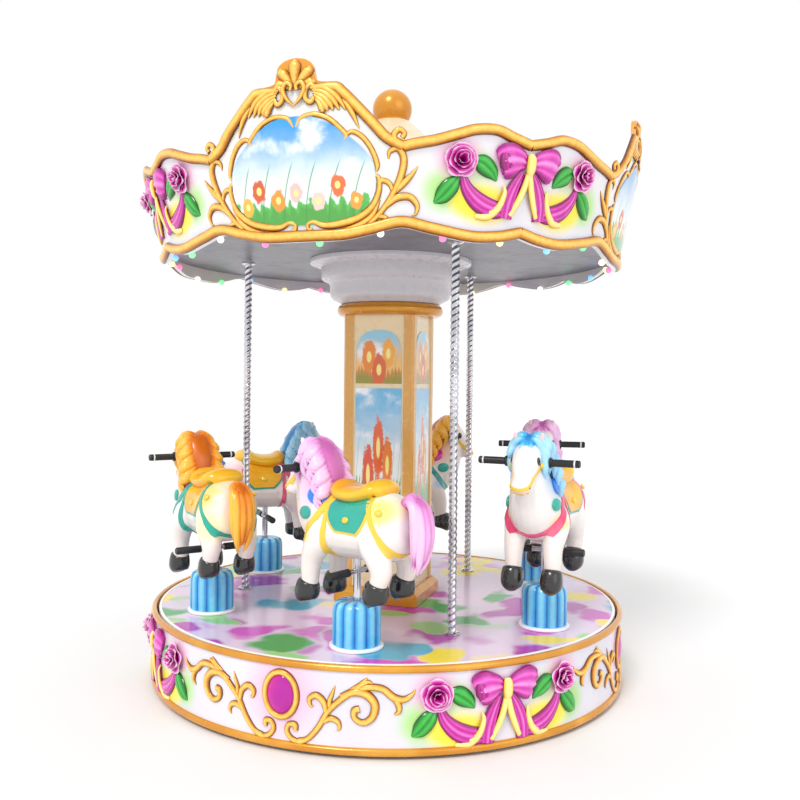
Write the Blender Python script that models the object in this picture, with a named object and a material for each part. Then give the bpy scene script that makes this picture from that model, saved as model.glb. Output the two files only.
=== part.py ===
"""A small children's carousel with six ponies.

A round base stands on the ground. A platform turns on it and carries everything else:
the square column, the crowned canopy, three poles and six pedestals. Each pony stands on
a rod that slides up and down in its pedestal.

Metres, +Z up. The origin is on the ground at the middle of the base. A bearing is an
angle about +Z counted from -Y, so bearing 0 is the middle of the first crowned panel.
"""

from math import cos, pi, radians, sin, tau

import bmesh
import bpy
from mathutils import Matrix, Vector

# Driving sizes
BASE_RADIUS = 1.10
FLOOR_HEIGHT = 0.338
CEILING_HEIGHT = 1.947
ROOF_TOP = 2.617
TOTAL_HEIGHT = 2.777
COLUMN_SIDE = 0.345
PANELS = 4
PONIES = 6
POLES = 3

# Bearings, in degrees
FIRST_PONY = 10.0
FIRST_POLE = 40.0
FIRST_BEAM = -11.25
PONY_TURNED_OUT = (-30.0, 12.0)

# Roundness of turned shapes
BIG_SIDES = 48
MID_SIDES = 20
SMALL_SIDES = 10
GAP = 0.0003
SHARP_EDGE = radians(40)

# Base
FOOT_HEIGHT = 0.02
FOOT_RADIUS = 0.026
FOOT_RING = 1.02
SKIRT_HEIGHT = 0.012
WALL_OUTER = 1.088
WALL_INNER = 1.075
RIM_HEIGHT = 0.028
RIM_TOP = 0.341
MOULDING_HEIGHT = 0.030
BEAM_WIDTH = 0.06
BEAM_HEIGHT = 0.05
POST_RADIUS = 0.10

# Turning platform
PLATFORM_RADIUS = 1.068
PLATFORM_THICKNESS = 0.035
HUB_RADIUS = 0.16
HUB_HEIGHT = 0.03
PEDESTAL_RING = 0.847
POLE_RING = 0.71
POLE_RADIUS = 0.019
POLE_FLANGE_RADIUS = 0.034
POLE_FLANGE_HEIGHT = 0.012

# Column, from the floor up
PLINTH_HEIGHT = 0.07
PLINTH_PROUD = 0.03
CORNER_POST = 0.046
PANEL_SUNK = 0.008
RING_FOOT = 1.678
RING_HEIGHT = 0.058
RING_RADIUS = 0.254
CAPITAL_NECK = 0.235
CAPITAL_WAIST = 0.292
CAPITAL_SHOULDER = 0.336
CAPITAL_PLATE = 0.390

# Canopy
FASCIA_FOOT = 1.887
FASCIA_FOOT_RADIUS = 1.057
FASCIA_BEND = 2.297
FASCIA_LEAN = 0.21
CROWN_LEAN = 0.01
FASCIA_THICKNESS = 0.022
EDGE_BAND = 0.035
EDGE_PROUD = 0.009
ROOF_EDGE_HEIGHT = 2.167
ROOF_THICKNESS = 0.014
ROOF_CLEARANCE = 0.0006
ROOF_NECK_RADIUS = 0.09
ROOF_SWEEP = 2.2
CEILING_THICKNESS = 0.025
BALL_RADIUS = 0.095
BALL_COLLAR = 0.078

# Top and bottom edge of one canopy panel: degrees from its middle, height above FASCIA_FOOT
CROWN_EDGE = ((0, 0.648), (2, 0.641), (3.5, 0.617), (4.2, 0.562), (7.5, 0.552), (9, 0.534),
              (12, 0.474), (15, 0.411), (17, 0.372), (20, 0.342), (22.5, 0.354), (26, 0.368),
              (30, 0.392), (33.5, 0.413), (37.5, 0.418), (41, 0.398), (45, 0.379))
LOWER_EDGE = ((0, -0.002), (8, 0.000), (14, 0.020), (20, 0.045), (26, 0.025), (34, 0.002),
              (40, 0.008), (45, 0.028))

# Picture frame on each panel: height above FASCIA_FOOT, half width in degrees
FRAME_OUTLINE = ((0.030, 1.5), (0.052, 8.0), (0.095, 12.5), (0.160, 15.2), (0.240, 15.4),
                 (0.300, 13.2), (0.356, 10.2), (0.420, 9.0), (0.480, 7.2), (0.550, 4.2),
                 (0.615, 2.6), (0.636, 1.2))
FRAME_PROUD = 0.022
FRAME_BEVEL = 0.012
FRAME_SUNK = 0.008

# Pony, in its own frame: x ahead and z up from the platform, both from the lift rod,
# with the lift half way up its stroke
ROD_RADIUS = 0.015
ROD_FOOT = 0.07
ROD_SOCKET_FOOT = 0.30
ROD_SOCKET_TOP = 0.40
PEG_HEIGHT = 0.308
PEG_REACH = 0.17
PEG_RADIUS = 0.016
PEG_BAR_RADIUS = 0.011
PEG_INNER = 0.055
BAR_AHEAD = 0.245
BAR_HEIGHT = 0.70
BAR_REACH = 0.21
BAR_RADIUS = 0.010
GRIP_LENGTH = 0.115
GRIP_RADIUS = 0.0155
GRIP_FLANGE = 0.022
PEDESTAL_HEIGHT = 0.18
PEDESTAL_RADIUS = 0.096
PEDESTAL_FLANGE = 0.1075
PEDESTAL_FLUTES = 12
FLUTE_DEPTH = 0.007
BORE_FLOOR = 0.012
LEG_APART = 0.082
HOOF_HEIGHT = 0.080
FRONT_SOLE = 0.178
HIND_SOLE = 0.212

# The cranks hold the ponies at different heights: a wave once round the platform
LIFT_WAVE = 0.03
WAVE_START = 40.0

COATS = {
    "gold": ((0.80, 0.45, 0.10), 0.32, 0.55),
    "white_shell": ((0.88, 0.85, 0.86), 0.25, 0.0),
    "roof_cream": ((0.90, 0.84, 0.70), 0.30, 0.0),
    "ceiling_grey": ((0.62, 0.60, 0.64), 0.18, 0.0),
    "platform_paint": ((0.72, 0.45, 0.70), 0.20, 0.0),
    "column_paint": ((0.88, 0.80, 0.62), 0.30, 0.0),
    "capital_white": ((0.80, 0.78, 0.74), 0.30, 0.0),
    "pedestal_blue": ((0.07, 0.45, 0.80), 0.22, 0.0),
    "pony_white": ((0.88, 0.84, 0.80), 0.25, 0.0),
    "saddle_yellow": ((0.90, 0.62, 0.05), 0.25, 0.0),
    "hoof_black": ((0.02, 0.02, 0.02), 0.30, 0.0),
    "mane_orange": ((0.90, 0.32, 0.03), 0.30, 0.0),
    "mane_pink": ((0.85, 0.25, 0.50), 0.30, 0.0),
    "mane_blue": ((0.20, 0.50, 0.85), 0.30, 0.0),
    "chrome": ((0.75, 0.75, 0.76), 0.12, 1.0),
    "frame_black": ((0.03, 0.03, 0.03), 0.45, 0.3),
}
MANES = ("mane_pink", "mane_blue", "mane_pink", "mane_orange", "mane_blue", "mane_orange")


def clear_scene():
    for obj in list(bpy.data.objects):
        bpy.data.objects.remove(obj)


def coat(name):
    """The material of that name, made the first time it is asked for."""
    if name in bpy.data.materials:
        return bpy.data.materials[name]
    colour, roughness, metallic = COATS[name]
    made = bpy.data.materials.new(name)
    made.use_nodes = True
    shader = made.node_tree.nodes["Principled BSDF"]
    shader.inputs["Base Color"].default_value = (*colour, 1.0)
    shader.inputs["Roughness"].default_value = roughness
    shader.inputs["Metallic"].default_value = metallic
    return made


def direction(bearing):
    """Unit vector from the axis, outward at a bearing in degrees."""
    return Vector((sin(radians(bearing)), -cos(radians(bearing)), 0))


def mesh_of(bm, name, coat_name):
    """A bmesh made a mesh: faces outward, shaded smooth between its sharp edges."""
    bmesh.ops.remove_doubles(bm, verts=bm.verts, dist=1e-5)
    bmesh.ops.recalc_face_normals(bm, faces=bm.faces)
    mesh = bpy.data.meshes.new(name)
    bm.to_mesh(mesh)
    bm.free()
    mesh.materials.append(coat(coat_name))
    soften(mesh)
    return mesh


def soften(mesh):
    mesh.shade_smooth()
    mesh.set_sharp_from_angle(angle=SHARP_EDGE)


def turned(profile, sides, ring=False):
    """A section of (radius, height) turned about Z. A solid's section starts and ends on the axis."""
    bm = bmesh.new()
    points = [bm.verts.new((radius, 0, height)) for radius, height in profile]
    lines = [bm.edges.new(pair) for pair in zip(points, points[1:])]
    if ring:
        lines.append(bm.edges.new((points[-1], points[0])))
    bmesh.ops.spin(bm, geom=points + lines, cent=(0, 0, 0), axis=(0, 0, 1), angle=tau,
                   steps=sides, use_merge=True)
    return bm


def loft(rings):
    """A closed skin over rings of points, with a flat cap on the first and the last."""
    bm = bmesh.new()
    rows = [[bm.verts.new(point) for point in ring] for ring in rings]
    for low, high in zip(rows, rows[1:]):
        for i, corner in enumerate(low):
            after = (i + 1) % len(low)
            bm.faces.new((corner, low[after], high[after], high[i]))
    bm.faces.new(rows[0][::-1])
    bm.faces.new(rows[-1])
    return bm


def limb(stations, sides):
    """A tube through stations of (x, y, z, half width, half depth) that lie in an upright plane."""
    centres = [Vector(station[:3]) for station in stations]
    rings = []
    for i, (*_, half_width, half_depth) in enumerate(stations):
        ahead = centres[min(i + 1, len(centres) - 1)] - centres[max(i - 1, 0)]
        depth_axis = ahead.cross(Vector((0, 1, 0))).normalized()
        rings.append([
            centres[i]
            + Vector((0, 1, 0)) * half_width * cos(tau * k / sides)
            + depth_axis * half_depth * sin(tau * k / sides)
            for k in range(sides)
        ])
    return loft(rings)


def bar_along_y(profile, sides, x, z):
    """A round bar turned about a line along Y, from a profile of (radius, y)."""
    bm = turned(profile, sides)
    place = Matrix.Translation((x, 0, z)) @ Matrix.Rotation(-pi / 2, 4, "X")
    bmesh.ops.transform(bm, matrix=place, verts=bm.verts)
    return bm


def box(low, high):
    bm = bmesh.new()
    size = Vector(high) - Vector(low)
    middle = (Vector(high) + Vector(low)) / 2
    place = Matrix.Translation(middle) @ Matrix.Diagonal((*size, 1))
    bmesh.ops.create_cube(bm, size=1, matrix=place)
    return bm


def node(name, mesh, parent, bearing=0.0, place=(0, 0, 0)):
    """One named object of the carousel, turned about Z to a bearing."""
    obj = bpy.data.objects.new(name, mesh)
    bpy.context.collection.objects.link(obj)
    obj.parent = parent
    obj.location = place
    obj.rotation_euler = (0, 0, radians(bearing))
    return obj


def pivot(name, parent=None, place=(0, 0, 0), turn=0.0):
    """An empty on a joint's axis, which carries the pieces that move together."""
    empty = bpy.data.objects.new(name, None)
    bpy.context.collection.objects.link(empty)
    empty.parent = parent
    empty.location = place
    empty.rotation_euler = (0, 0, turn)
    empty.empty_display_size = 0.1
    return empty


def combine(mesh, helpers, operation):
    """The mesh with helper meshes joined to it (UNION) or cut from it (DIFFERENCE)."""
    body = node("shape_in_work", mesh, None)
    for helper in helpers:
        tool = node("helper", helper, None)
        change = body.modifiers.new("combine", "BOOLEAN")
        change.operation = operation
        change.material_mode = "TRANSFER"
        change.object = tool
        graph = bpy.context.evaluated_depsgraph_get()
        body_after = bpy.data.meshes.new_from_object(body.evaluated_get(graph))
        body.modifiers.remove(change)
        body.data = body_after
        bpy.data.objects.remove(tool)
    result = body.data
    bpy.data.objects.remove(body)
    soften(result)
    return result


def edge_height(outline, degrees_off):
    """Height of an edge outline at so many degrees from the panel's middle."""
    for (near, low), (far, high) in zip(outline, outline[1:]):
        if degrees_off <= far:
            return FASCIA_FOOT + low + (high - low) * (degrees_off - near) / (far - near)
    return FASCIA_FOOT + outline[-1][1]


def fascia_radius(height):
    """Outer radius of the canopy's leaning wall at a height."""
    if height <= FASCIA_BEND:
        return FASCIA_FOOT_RADIUS + FASCIA_LEAN * (height - FASCIA_FOOT)
    return fascia_radius(FASCIA_BEND) + CROWN_LEAN * (height - FASCIA_BEND)


def add_base():
    """The fixed base: a steel frame on feet, the drum wall round it, and its gold mouldings."""
    wall_foot = SKIRT_HEIGHT + MOULDING_HEIGHT * 0.3
    wall = [(WALL_OUTER, wall_foot), (WALL_OUTER, RIM_TOP - RIM_HEIGHT),
            (WALL_INNER, RIM_TOP - RIM_HEIGHT), (WALL_INNER, wall_foot)]
    node("base_drum_wall", mesh_of(turned(wall, BIG_SIDES, ring=True), "wall", "white_shell"), None)

    rim_foot = RIM_TOP - RIM_HEIGHT + GAP
    rim_inner = WALL_INNER + 0.003
    rim = [(WALL_OUTER - 0.002, rim_foot), (BASE_RADIUS, rim_foot + 0.006),
           (BASE_RADIUS, RIM_TOP - 0.008), (BASE_RADIUS - 0.008, RIM_TOP),
           (rim_inner + 0.006, RIM_TOP), (rim_inner, RIM_TOP - 0.006), (rim_inner, rim_foot)]
    node("base_top_rim", mesh_of(turned(rim, BIG_SIDES, ring=True), "rim", "gold"), None)

    inner = WALL_OUTER + GAP
    moulding_top = SKIRT_HEIGHT + MOULDING_HEIGHT
    moulding = [(inner, SKIRT_HEIGHT), (BASE_RADIUS - 0.003, SKIRT_HEIGHT),
                (BASE_RADIUS, SKIRT_HEIGHT + 0.008), (BASE_RADIUS, moulding_top - 0.008),
                (inner + 0.002, moulding_top), (inner, moulding_top)]
    node("base_bottom_moulding",
         mesh_of(turned(moulding, BIG_SIDES, ring=True), "moulding", "gold"), None)

    node("base_chassis", chassis_mesh(), None)


def chassis_mesh():
    """Six radial beams on feet, with the bearing post in the middle."""
    hub_foot = FLOOR_HEIGHT - PLATFORM_THICKNESS - HUB_HEIGHT
    post = turned([(0, 0), (POST_RADIUS, 0), (POST_RADIUS, hub_foot - GAP), (0, hub_foot - GAP)],
                  MID_SIDES)
    reach = WALL_INNER * cos(pi / BIG_SIDES) - GAP
    helpers = []
    for k in range(PONIES):
        turn = Matrix.Rotation(radians(FIRST_BEAM + k * 360 / PONIES), 4, "Z")
        beam = box((-BEAM_WIDTH / 2, -reach, FOOT_HEIGHT),
                   (BEAM_WIDTH / 2, -POST_RADIUS / 2, FOOT_HEIGHT + BEAM_HEIGHT))
        foot = turned([(0, 0), (FOOT_RADIUS, 0), (FOOT_RADIUS, FOOT_HEIGHT + 0.01),
                       (0, FOOT_HEIGHT + 0.01)], SMALL_SIDES)
        bmesh.ops.translate(foot, vec=(0, -FOOT_RING, 0), verts=foot.verts)
        for shape in (beam, foot):
            bmesh.ops.transform(shape, matrix=turn, verts=shape.verts)
            helpers.append(mesh_of(shape, "beam_or_foot", "frame_black"))
    return combine(mesh_of(post, "chassis", "frame_black"), helpers, "UNION")


def add_platform(turntable):
    low = FLOOR_HEIGHT - PLATFORM_THICKNESS
    section = [(0, low - HUB_HEIGHT), (HUB_RADIUS, low - HUB_HEIGHT), (HUB_RADIUS, low),
               (PLATFORM_RADIUS, low),
               (PLATFORM_RADIUS, FLOOR_HEIGHT - 0.004), (PLATFORM_RADIUS - 0.004, FLOOR_HEIGHT),
               (0, FLOOR_HEIGHT)]
    node("platform", mesh_of(turned(section, BIG_SIDES), "platform", "platform_paint"), turntable)


def square_ring(half, height, chamfer):
    """A square with cut corners, at a height."""
    inner = half - chamfer
    return [(x, y, height) for x, y in (
        (half, -inner), (half, inner), (inner, half), (-inner, half),
        (-half, inner), (-half, -inner), (-inner, -half), (inner, -half))]


def shaft_ring(height):
    """The column's section: a square with corner posts that stand proud of its four faces."""
    half = COLUMN_SIDE / 2
    sunk = half - PANEL_SUNK
    corner = half - CORNER_POST
    chamfer = 0.010
    slope = 0.006
    side = [(half - chamfer, -half), (half, -half + chamfer), (half, -corner),
            (sunk, -corner + slope), (sunk, corner - slope), (half, corner)]
    ring = []
    for quarter in range(4):
        turn = Matrix.Rotation(quarter * pi / 2, 3, "Z")
        ring += [turn @ Vector((x, y, height)) for x, y in side]
    return ring


def plinth_mesh(foot, top):
    """The square gold plinth with its sloped upper edge."""
    half = COLUMN_SIDE / 2 + PLINTH_PROUD
    chamfer = 0.012
    slope_height = 0.025
    slope_inset = 0.022
    shape = loft([square_ring(half, foot, chamfer),
                  square_ring(half, top - slope_height, chamfer),
                  square_ring(half - slope_inset, top, chamfer)])
    return mesh_of(shape, "plinth", "gold")


def ring_section():
    """The gold ring under the capital: a disc with a half-round edge."""
    bead = RING_HEIGHT / 2
    flat = RING_RADIUS - bead
    steps = 6
    section = [(0, RING_FOOT), (flat, RING_FOOT)]
    for step in range(1, steps):
        angle = -pi / 2 + pi * step / steps
        section.append((flat + bead * cos(angle), RING_FOOT + bead + bead * sin(angle)))
    return section + [(flat, RING_FOOT + RING_HEIGHT), (0, RING_FOOT + RING_HEIGHT)]


def capital_section():
    """The stepped capital: cove, waist, shoulder and the plate under the ceiling."""
    foot = RING_FOOT + RING_HEIGHT + GAP
    top = CEILING_HEIGHT - GAP
    plate = 0.022
    return [(0, foot), (CAPITAL_NECK, foot), (CAPITAL_WAIST - 0.007, foot + 0.035),
            (CAPITAL_WAIST, foot + 0.060), (CAPITAL_WAIST, foot + 0.090),
            (CAPITAL_SHOULDER - 0.010, foot + 0.112), (CAPITAL_SHOULDER, foot + 0.135),
            (CAPITAL_SHOULDER, top - plate - 0.010), (CAPITAL_PLATE, top - plate),
            (CAPITAL_PLATE, top), (0, top)]


def add_column(turntable):
    """The square column with its plinth, gold ring and stepped round capital."""
    plinth_foot = FLOOR_HEIGHT + GAP
    plinth_top = plinth_foot + PLINTH_HEIGHT
    node("column_plinth", plinth_mesh(plinth_foot, plinth_top), turntable)

    shaft = loft([shaft_ring(plinth_top + GAP), shaft_ring(RING_FOOT - GAP)])
    node("column_shaft", mesh_of(shaft, "shaft", "column_paint"), turntable)

    sides = MID_SIDES + 4
    node("column_ring", mesh_of(turned(ring_section(), sides), "ring", "gold"), turntable)
    node("column_capital", mesh_of(turned(capital_section(), sides), "capital", "capital_white"),
         turntable)


def fascia_mesh():
    """One quarter of the canopy's wall, with rolled edges and the raised picture frame."""
    half_span = 360 / PANELS / 2
    seam = half_span - 0.008
    half = [min(angle, seam) for angle, _ in CROWN_EDGE]
    columns = [-angle for angle in half[:0:-1]] + half
    rings = []
    for bearing in columns:
        top = edge_height(CROWN_EDGE, abs(bearing))
        foot = edge_height(LOWER_EDGE, abs(bearing))
        waist = FASCIA_BEND if top > FASCIA_BEND + 1.5 * EDGE_BAND else (foot + top) / 2
        section = [(foot, EDGE_PROUD), (foot + EDGE_BAND, EDGE_PROUD),
                   (foot + EDGE_BAND + 0.006, 0), (waist, 0), (top - EDGE_BAND - 0.006, 0),
                   (top - EDGE_BAND, EDGE_PROUD), (top, EDGE_PROUD),
                   (top, -FASCIA_THICKNESS), (ROOF_EDGE_HEIGHT, -FASCIA_THICKNESS),
                   (foot, -FASCIA_THICKNESS)]
        out = direction(bearing)
        rings.append([out * (fascia_radius(height) + proud) + Vector((0, 0, height))
                      for height, proud in section])
    wall = mesh_of(loft(rings), "fascia", "white_shell")
    return combine(wall, [mesh_of(frame_plate(), "frame", "gold")], "UNION")


def frame_plate():
    """The raised plate of the picture frame, bent to the canopy's wall."""
    columns = (-1.0, -0.55, 0.0, 0.55, 1.0)
    rings = []
    for rise, half_width in FRAME_OUTLINE:
        height = FASCIA_FOOT + rise
        radius = fascia_radius(height)
        ring = []
        for share, proud in [(c, FRAME_PROUD) for c in columns] + \
                [(c, -FRAME_SUNK) for c in reversed(columns)]:
            edge_drop = FRAME_BEVEL if abs(share) == 1.0 and proud > 0 else 0.0
            out = direction(share * half_width)
            ring.append(out * (radius + proud - edge_drop) + Vector((0, 0, height)))
        rings.append(ring)
    return loft(rings)


def add_canopy(turntable):
    """The ceiling, the four crowned wall panels, the roof and the ball on top."""
    inner_at = fascia_radius(CEILING_HEIGHT) - FASCIA_THICKNESS - GAP
    ceiling = [(0, CEILING_HEIGHT), (inner_at, CEILING_HEIGHT),
               (inner_at, CEILING_HEIGHT + CEILING_THICKNESS),
               (0, CEILING_HEIGHT + CEILING_THICKNESS)]
    node("ceiling", mesh_of(turned(ceiling, BIG_SIDES), "ceiling", "ceiling_grey"), turntable)

    fascia = fascia_mesh()
    for k in range(PANELS):
        node(f"fascia_{k + 1}", fascia, turntable, bearing=k * 360 / PANELS)

    node("roof", mesh_of(turned(roof_section(), BIG_SIDES), "roof", "roof_cream"), turntable)

    node("finial_ball", mesh_of(turned(ball_section(), MID_SIDES), "ball", "gold"), turntable)


def ball_section():
    """The ball on its short collar, which stands on the top of the roof."""
    middle = TOTAL_HEIGHT - BALL_RADIUS
    foot = ROOF_TOP + GAP
    start = -0.42 * pi / 2
    steps = 7
    section = [(0, foot), (BALL_COLLAR, foot), (BALL_COLLAR, foot + 0.010)]
    for step in range(steps):
        angle = start + (pi / 2 - start) * step / steps
        section.append((BALL_RADIUS * cos(angle), middle + BALL_RADIUS * sin(angle)))
    return section + [(0, TOTAL_HEIGHT)]


def roof_section():
    """The roof's ogee shell: nearly flat at its edge, steep at its neck."""
    edge = fascia_radius(ROOF_EDGE_HEIGHT - ROOF_THICKNESS) - FASCIA_THICKNESS
    edge -= ROOF_CLEARANCE
    rise = ROOF_TOP - ROOF_EDGE_HEIGHT
    steps = 4
    crowding = 1.5
    outside = []
    for step in range(steps + 1):
        radius = ROOF_NECK_RADIUS + (edge - ROOF_NECK_RADIUS) * (step / steps) ** crowding
        share = (edge - radius) / (edge - ROOF_NECK_RADIUS)
        outside.append((radius, ROOF_EDGE_HEIGHT + rise * share ** ROOF_SWEEP))
    inside = [(max(radius - ROOF_THICKNESS, 0.05), height - ROOF_THICKNESS)
              for radius, height in outside[:-1]]
    inside.append((edge, ROOF_EDGE_HEIGHT - ROOF_THICKNESS))
    return [(0, ROOF_TOP), *outside, *reversed(inside), (0, ROOF_TOP - ROOF_THICKNESS)]


def add_poles(turntable):
    """Three round poles from the platform to the ceiling, with a flange at each end."""
    foot = FLOOR_HEIGHT + GAP
    top = CEILING_HEIGHT - GAP
    lip = POLE_FLANGE_HEIGHT - 0.004
    section = [(0, foot), (POLE_FLANGE_RADIUS, foot), (POLE_FLANGE_RADIUS, foot + lip),
               (POLE_RADIUS, foot + POLE_FLANGE_HEIGHT), (POLE_RADIUS, top - POLE_FLANGE_HEIGHT),
               (POLE_FLANGE_RADIUS, top - lip), (POLE_FLANGE_RADIUS, top), (0, top)]
    pole = mesh_of(turned(section, SMALL_SIDES), "pole", "chrome")
    for k in range(POLES):
        bearing = FIRST_POLE + k * 360 / POLES
        node(f"pole_{k + 1}", pole, turntable, bearing, direction(bearing) * POLE_RING)


def fluted_ring(radius, groove, height):
    points = []
    for k in range(2 * PEDESTAL_FLUTES):
        reach = radius - groove * (k % 2)
        angle = pi * k / PEDESTAL_FLUTES
        points.append((reach * cos(angle), reach * sin(angle), height))
    return points


def pedestal_mesh():
    """The fluted blue pedestal with its white foot flange and the bore that guides the rod."""
    foot = GAP
    shape = loft([fluted_ring(PEDESTAL_FLANGE, 0, foot),
                  fluted_ring(PEDESTAL_FLANGE, 0, foot + 0.010),
                  fluted_ring(PEDESTAL_RADIUS, FLUTE_DEPTH, foot + 0.014),
                  fluted_ring(PEDESTAL_RADIUS, FLUTE_DEPTH, PEDESTAL_HEIGHT - 0.022),
                  fluted_ring(PEDESTAL_RADIUS - 0.012, 0.003, PEDESTAL_HEIGHT)])
    bore_radius = (ROD_RADIUS + GAP) / cos(pi / SMALL_SIDES)
    bore = turned([(0, BORE_FLOOR), (bore_radius, BORE_FLOOR),
                   (bore_radius, PEDESTAL_HEIGHT + 0.02), (0, PEDESTAL_HEIGHT + 0.02)], SMALL_SIDES)
    return combine(mesh_of(shape, "pedestal", "pedestal_blue"),
                   [mesh_of(bore, "bore", "pedestal_blue")], "DIFFERENCE")


def trunk():
    """Rump, barrel, chest and neck as one tube."""
    return limb([(-0.262, 0, 0.510, 0.030, 0.034), (-0.236, 0, 0.506, 0.088, 0.094),
                 (-0.160, 0, 0.494, 0.128, 0.136), (-0.040, 0, 0.484, 0.118, 0.132),
                 (0.070, 0, 0.486, 0.112, 0.134), (0.160, 0, 0.520, 0.106, 0.138),
                 (0.205, 0, 0.595, 0.088, 0.110), (0.225, 0, 0.680, 0.070, 0.086),
                 (0.222, 0, 0.750, 0.058, 0.066), (0.216, 0, 0.785, 0.030, 0.030)], 10)


def head():
    return limb([(0.205, 0, 0.772, 0.034, 0.026), (0.240, 0, 0.740, 0.060, 0.050),
                 (0.285, 0, 0.688, 0.062, 0.054), (0.322, 0, 0.633, 0.050, 0.044),
                 (0.345, 0, 0.596, 0.046, 0.038), (0.352, 0, 0.578, 0.026, 0.020)], 8)


def leg(hip_x, knee_x, hoof_x, sole, side):
    """A plump leg with its rounded hoof, on one side of the pony."""
    y = side * LEG_APART
    return limb([(hip_x, y, 0.460, 0.052, 0.064), (knee_x, y, 0.345, 0.042, 0.048),
                 (hoof_x, y, sole + HOOF_HEIGHT, 0.032, 0.034),
                 (hoof_x + 0.008, y, sole + HOOF_HEIGHT / 2, 0.046, 0.052),
                 (hoof_x + 0.010, y, sole, 0.034, 0.038)], 6)


def mane():
    return limb([(0.285, 0, 0.768, 0.030, 0.016), (0.235, 0, 0.796, 0.050, 0.028),
                 (0.175, 0, 0.776, 0.058, 0.036), (0.128, 0, 0.705, 0.052, 0.034),
                 (0.112, 0, 0.630, 0.036, 0.024)], 8)


def tail():
    return limb([(-0.195, 0, 0.560, 0.028, 0.024), (-0.252, 0, 0.604, 0.044, 0.036),
                 (-0.302, 0, 0.565, 0.060, 0.044), (-0.312, 0, 0.475, 0.056, 0.040),
                 (-0.296, 0, 0.395, 0.036, 0.026), (-0.272, 0, 0.350, 0.012, 0.008)], 6)


def saddle():
    return limb([(-0.150, 0, 0.608, 0.060, 0.030), (-0.115, 0, 0.632, 0.098, 0.044),
                 (-0.030, 0, 0.610, 0.104, 0.042), (0.060, 0, 0.614, 0.096, 0.040),
                 (0.096, 0, 0.626, 0.058, 0.030)], 8)


def pony_mesh():
    """The moulded pony, with the socket for its rod and the hole for its handlebar."""
    body = mesh_of(trunk(), "pony", "pony_white")
    added = [mesh_of(head(), "head", "pony_white"), mesh_of(saddle(), "saddle", "saddle_yellow"),
             mesh_of(mane(), "mane", "mane_orange"), mesh_of(tail(), "tail", "mane_orange")]
    for side in (-1, 1):
        added.append(mesh_of(leg(0.118, 0.166, 0.176, FRONT_SOLE, side), "leg", "pony_white"))
        added.append(mesh_of(leg(-0.146, -0.182, -0.170, HIND_SOLE, side), "leg", "pony_white"))
    body = combine(body, added, "UNION")
    socket_radius = ROD_RADIUS + GAP
    socket = turned([(0, ROD_SOCKET_FOOT), (socket_radius, ROD_SOCKET_FOOT),
                     (socket_radius, ROD_SOCKET_TOP + GAP), (0, ROD_SOCKET_TOP + GAP)], SMALL_SIDES)
    hole_radius = BAR_RADIUS + GAP
    half_width = 0.12
    hole = bar_along_y([(0, -half_width), (hole_radius, -half_width), (hole_radius, half_width),
                        (0, half_width)], SMALL_SIDES, BAR_AHEAD, BAR_HEIGHT)
    body = combine(body, [mesh_of(socket, "socket", "pony_white"),
                          mesh_of(hole, "hole", "pony_white")], "DIFFERENCE")
    body.materials.append(coat("hoof_black"))
    for face in body.polygons:
        sole = FRONT_SOLE if face.center.x > 0 else HIND_SOLE
        if face.center.z < sole + HOOF_HEIGHT:
            face.material_index = len(body.materials) - 1
    return body


def handlebar_mesh():
    """The bar through the neck, with a flanged grip on each end."""
    inner = BAR_REACH - GRIP_LENGTH
    flange = 0.006
    half = [(BAR_RADIUS, inner - flange), (GRIP_FLANGE, inner - flange), (GRIP_FLANGE, inner),
            (GRIP_RADIUS, inner), (GRIP_RADIUS, BAR_REACH), (0, BAR_REACH)]
    profile = [(radius, -y) for radius, y in reversed(half)] + half
    return mesh_of(bar_along_y(profile, SMALL_SIDES, BAR_AHEAD, BAR_HEIGHT), "bar", "hoof_black")


def lift_rod_mesh():
    """The upright rod with the foot pegs across it."""
    rod = turned([(0, ROD_FOOT), (ROD_RADIUS, ROD_FOOT), (ROD_RADIUS, ROD_SOCKET_TOP),
                  (0, ROD_SOCKET_TOP)], SMALL_SIDES)
    half = [(PEG_BAR_RADIUS, PEG_INNER), (PEG_RADIUS, PEG_INNER), (PEG_RADIUS, PEG_REACH),
            (0, PEG_REACH)]
    profile = [(radius, -y) for radius, y in reversed(half)] + half
    pegs = bar_along_y(profile, SMALL_SIDES - 2, 0, PEG_HEIGHT)
    return combine(mesh_of(rod, "rod", "chrome"), [mesh_of(pegs, "pegs", "hoof_black")], "UNION")


def add_ponies(turntable):
    """Six pedestals, and on each a pony that rides up and down on its rod."""
    pedestal = pedestal_mesh()
    pony = pony_mesh()
    handlebar = handlebar_mesh()
    lift_rod = lift_rod_mesh()
    for k in range(PONIES):
        bearing = FIRST_PONY + k * 360 / PONIES
        place = direction(bearing) * PEDESTAL_RING + Vector((0, 0, FLOOR_HEIGHT))
        node(f"pedestal_{k + 1}", pedestal, turntable, bearing, place)
        place.z += LIFT_WAVE * sin(radians(bearing - WAVE_START))
        heading = radians(bearing + PONY_TURNED_OUT[k % 2]) + pi
        lift = pivot(f"lift_{k + 1}", turntable, place, heading)
        body = node(f"pony_body_{k + 1}", pony, lift)
        for slot in body.material_slots:
            if slot.material.name.startswith("mane"):
                slot.link = "OBJECT"
                slot.material = coat(MANES[k])
        node(f"handlebar_{k + 1}", handlebar, lift)
        node(f"lift_rod_{k + 1}", lift_rod, lift)


def main():
    clear_scene()
    add_base()
    turntable = pivot("turntable")
    add_platform(turntable)
    add_column(turntable)
    add_canopy(turntable)
    add_poles(turntable)
    add_ponies(turntable)


main()
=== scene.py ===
"""The looks of the small carousel with six ponies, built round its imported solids.

Metres, +Z up, but the rows inside mm(...) and at(...) are millimetres. A bearing is an angle
about +Z counted from -Y, in degrees, so a bearing grows to the right for someone who looks
at the carousel from outside. Ornaments are drawn flat, as (along, up, half width) and often
a lift off the wall, and then laid on the wall that carries them.
"""

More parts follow.
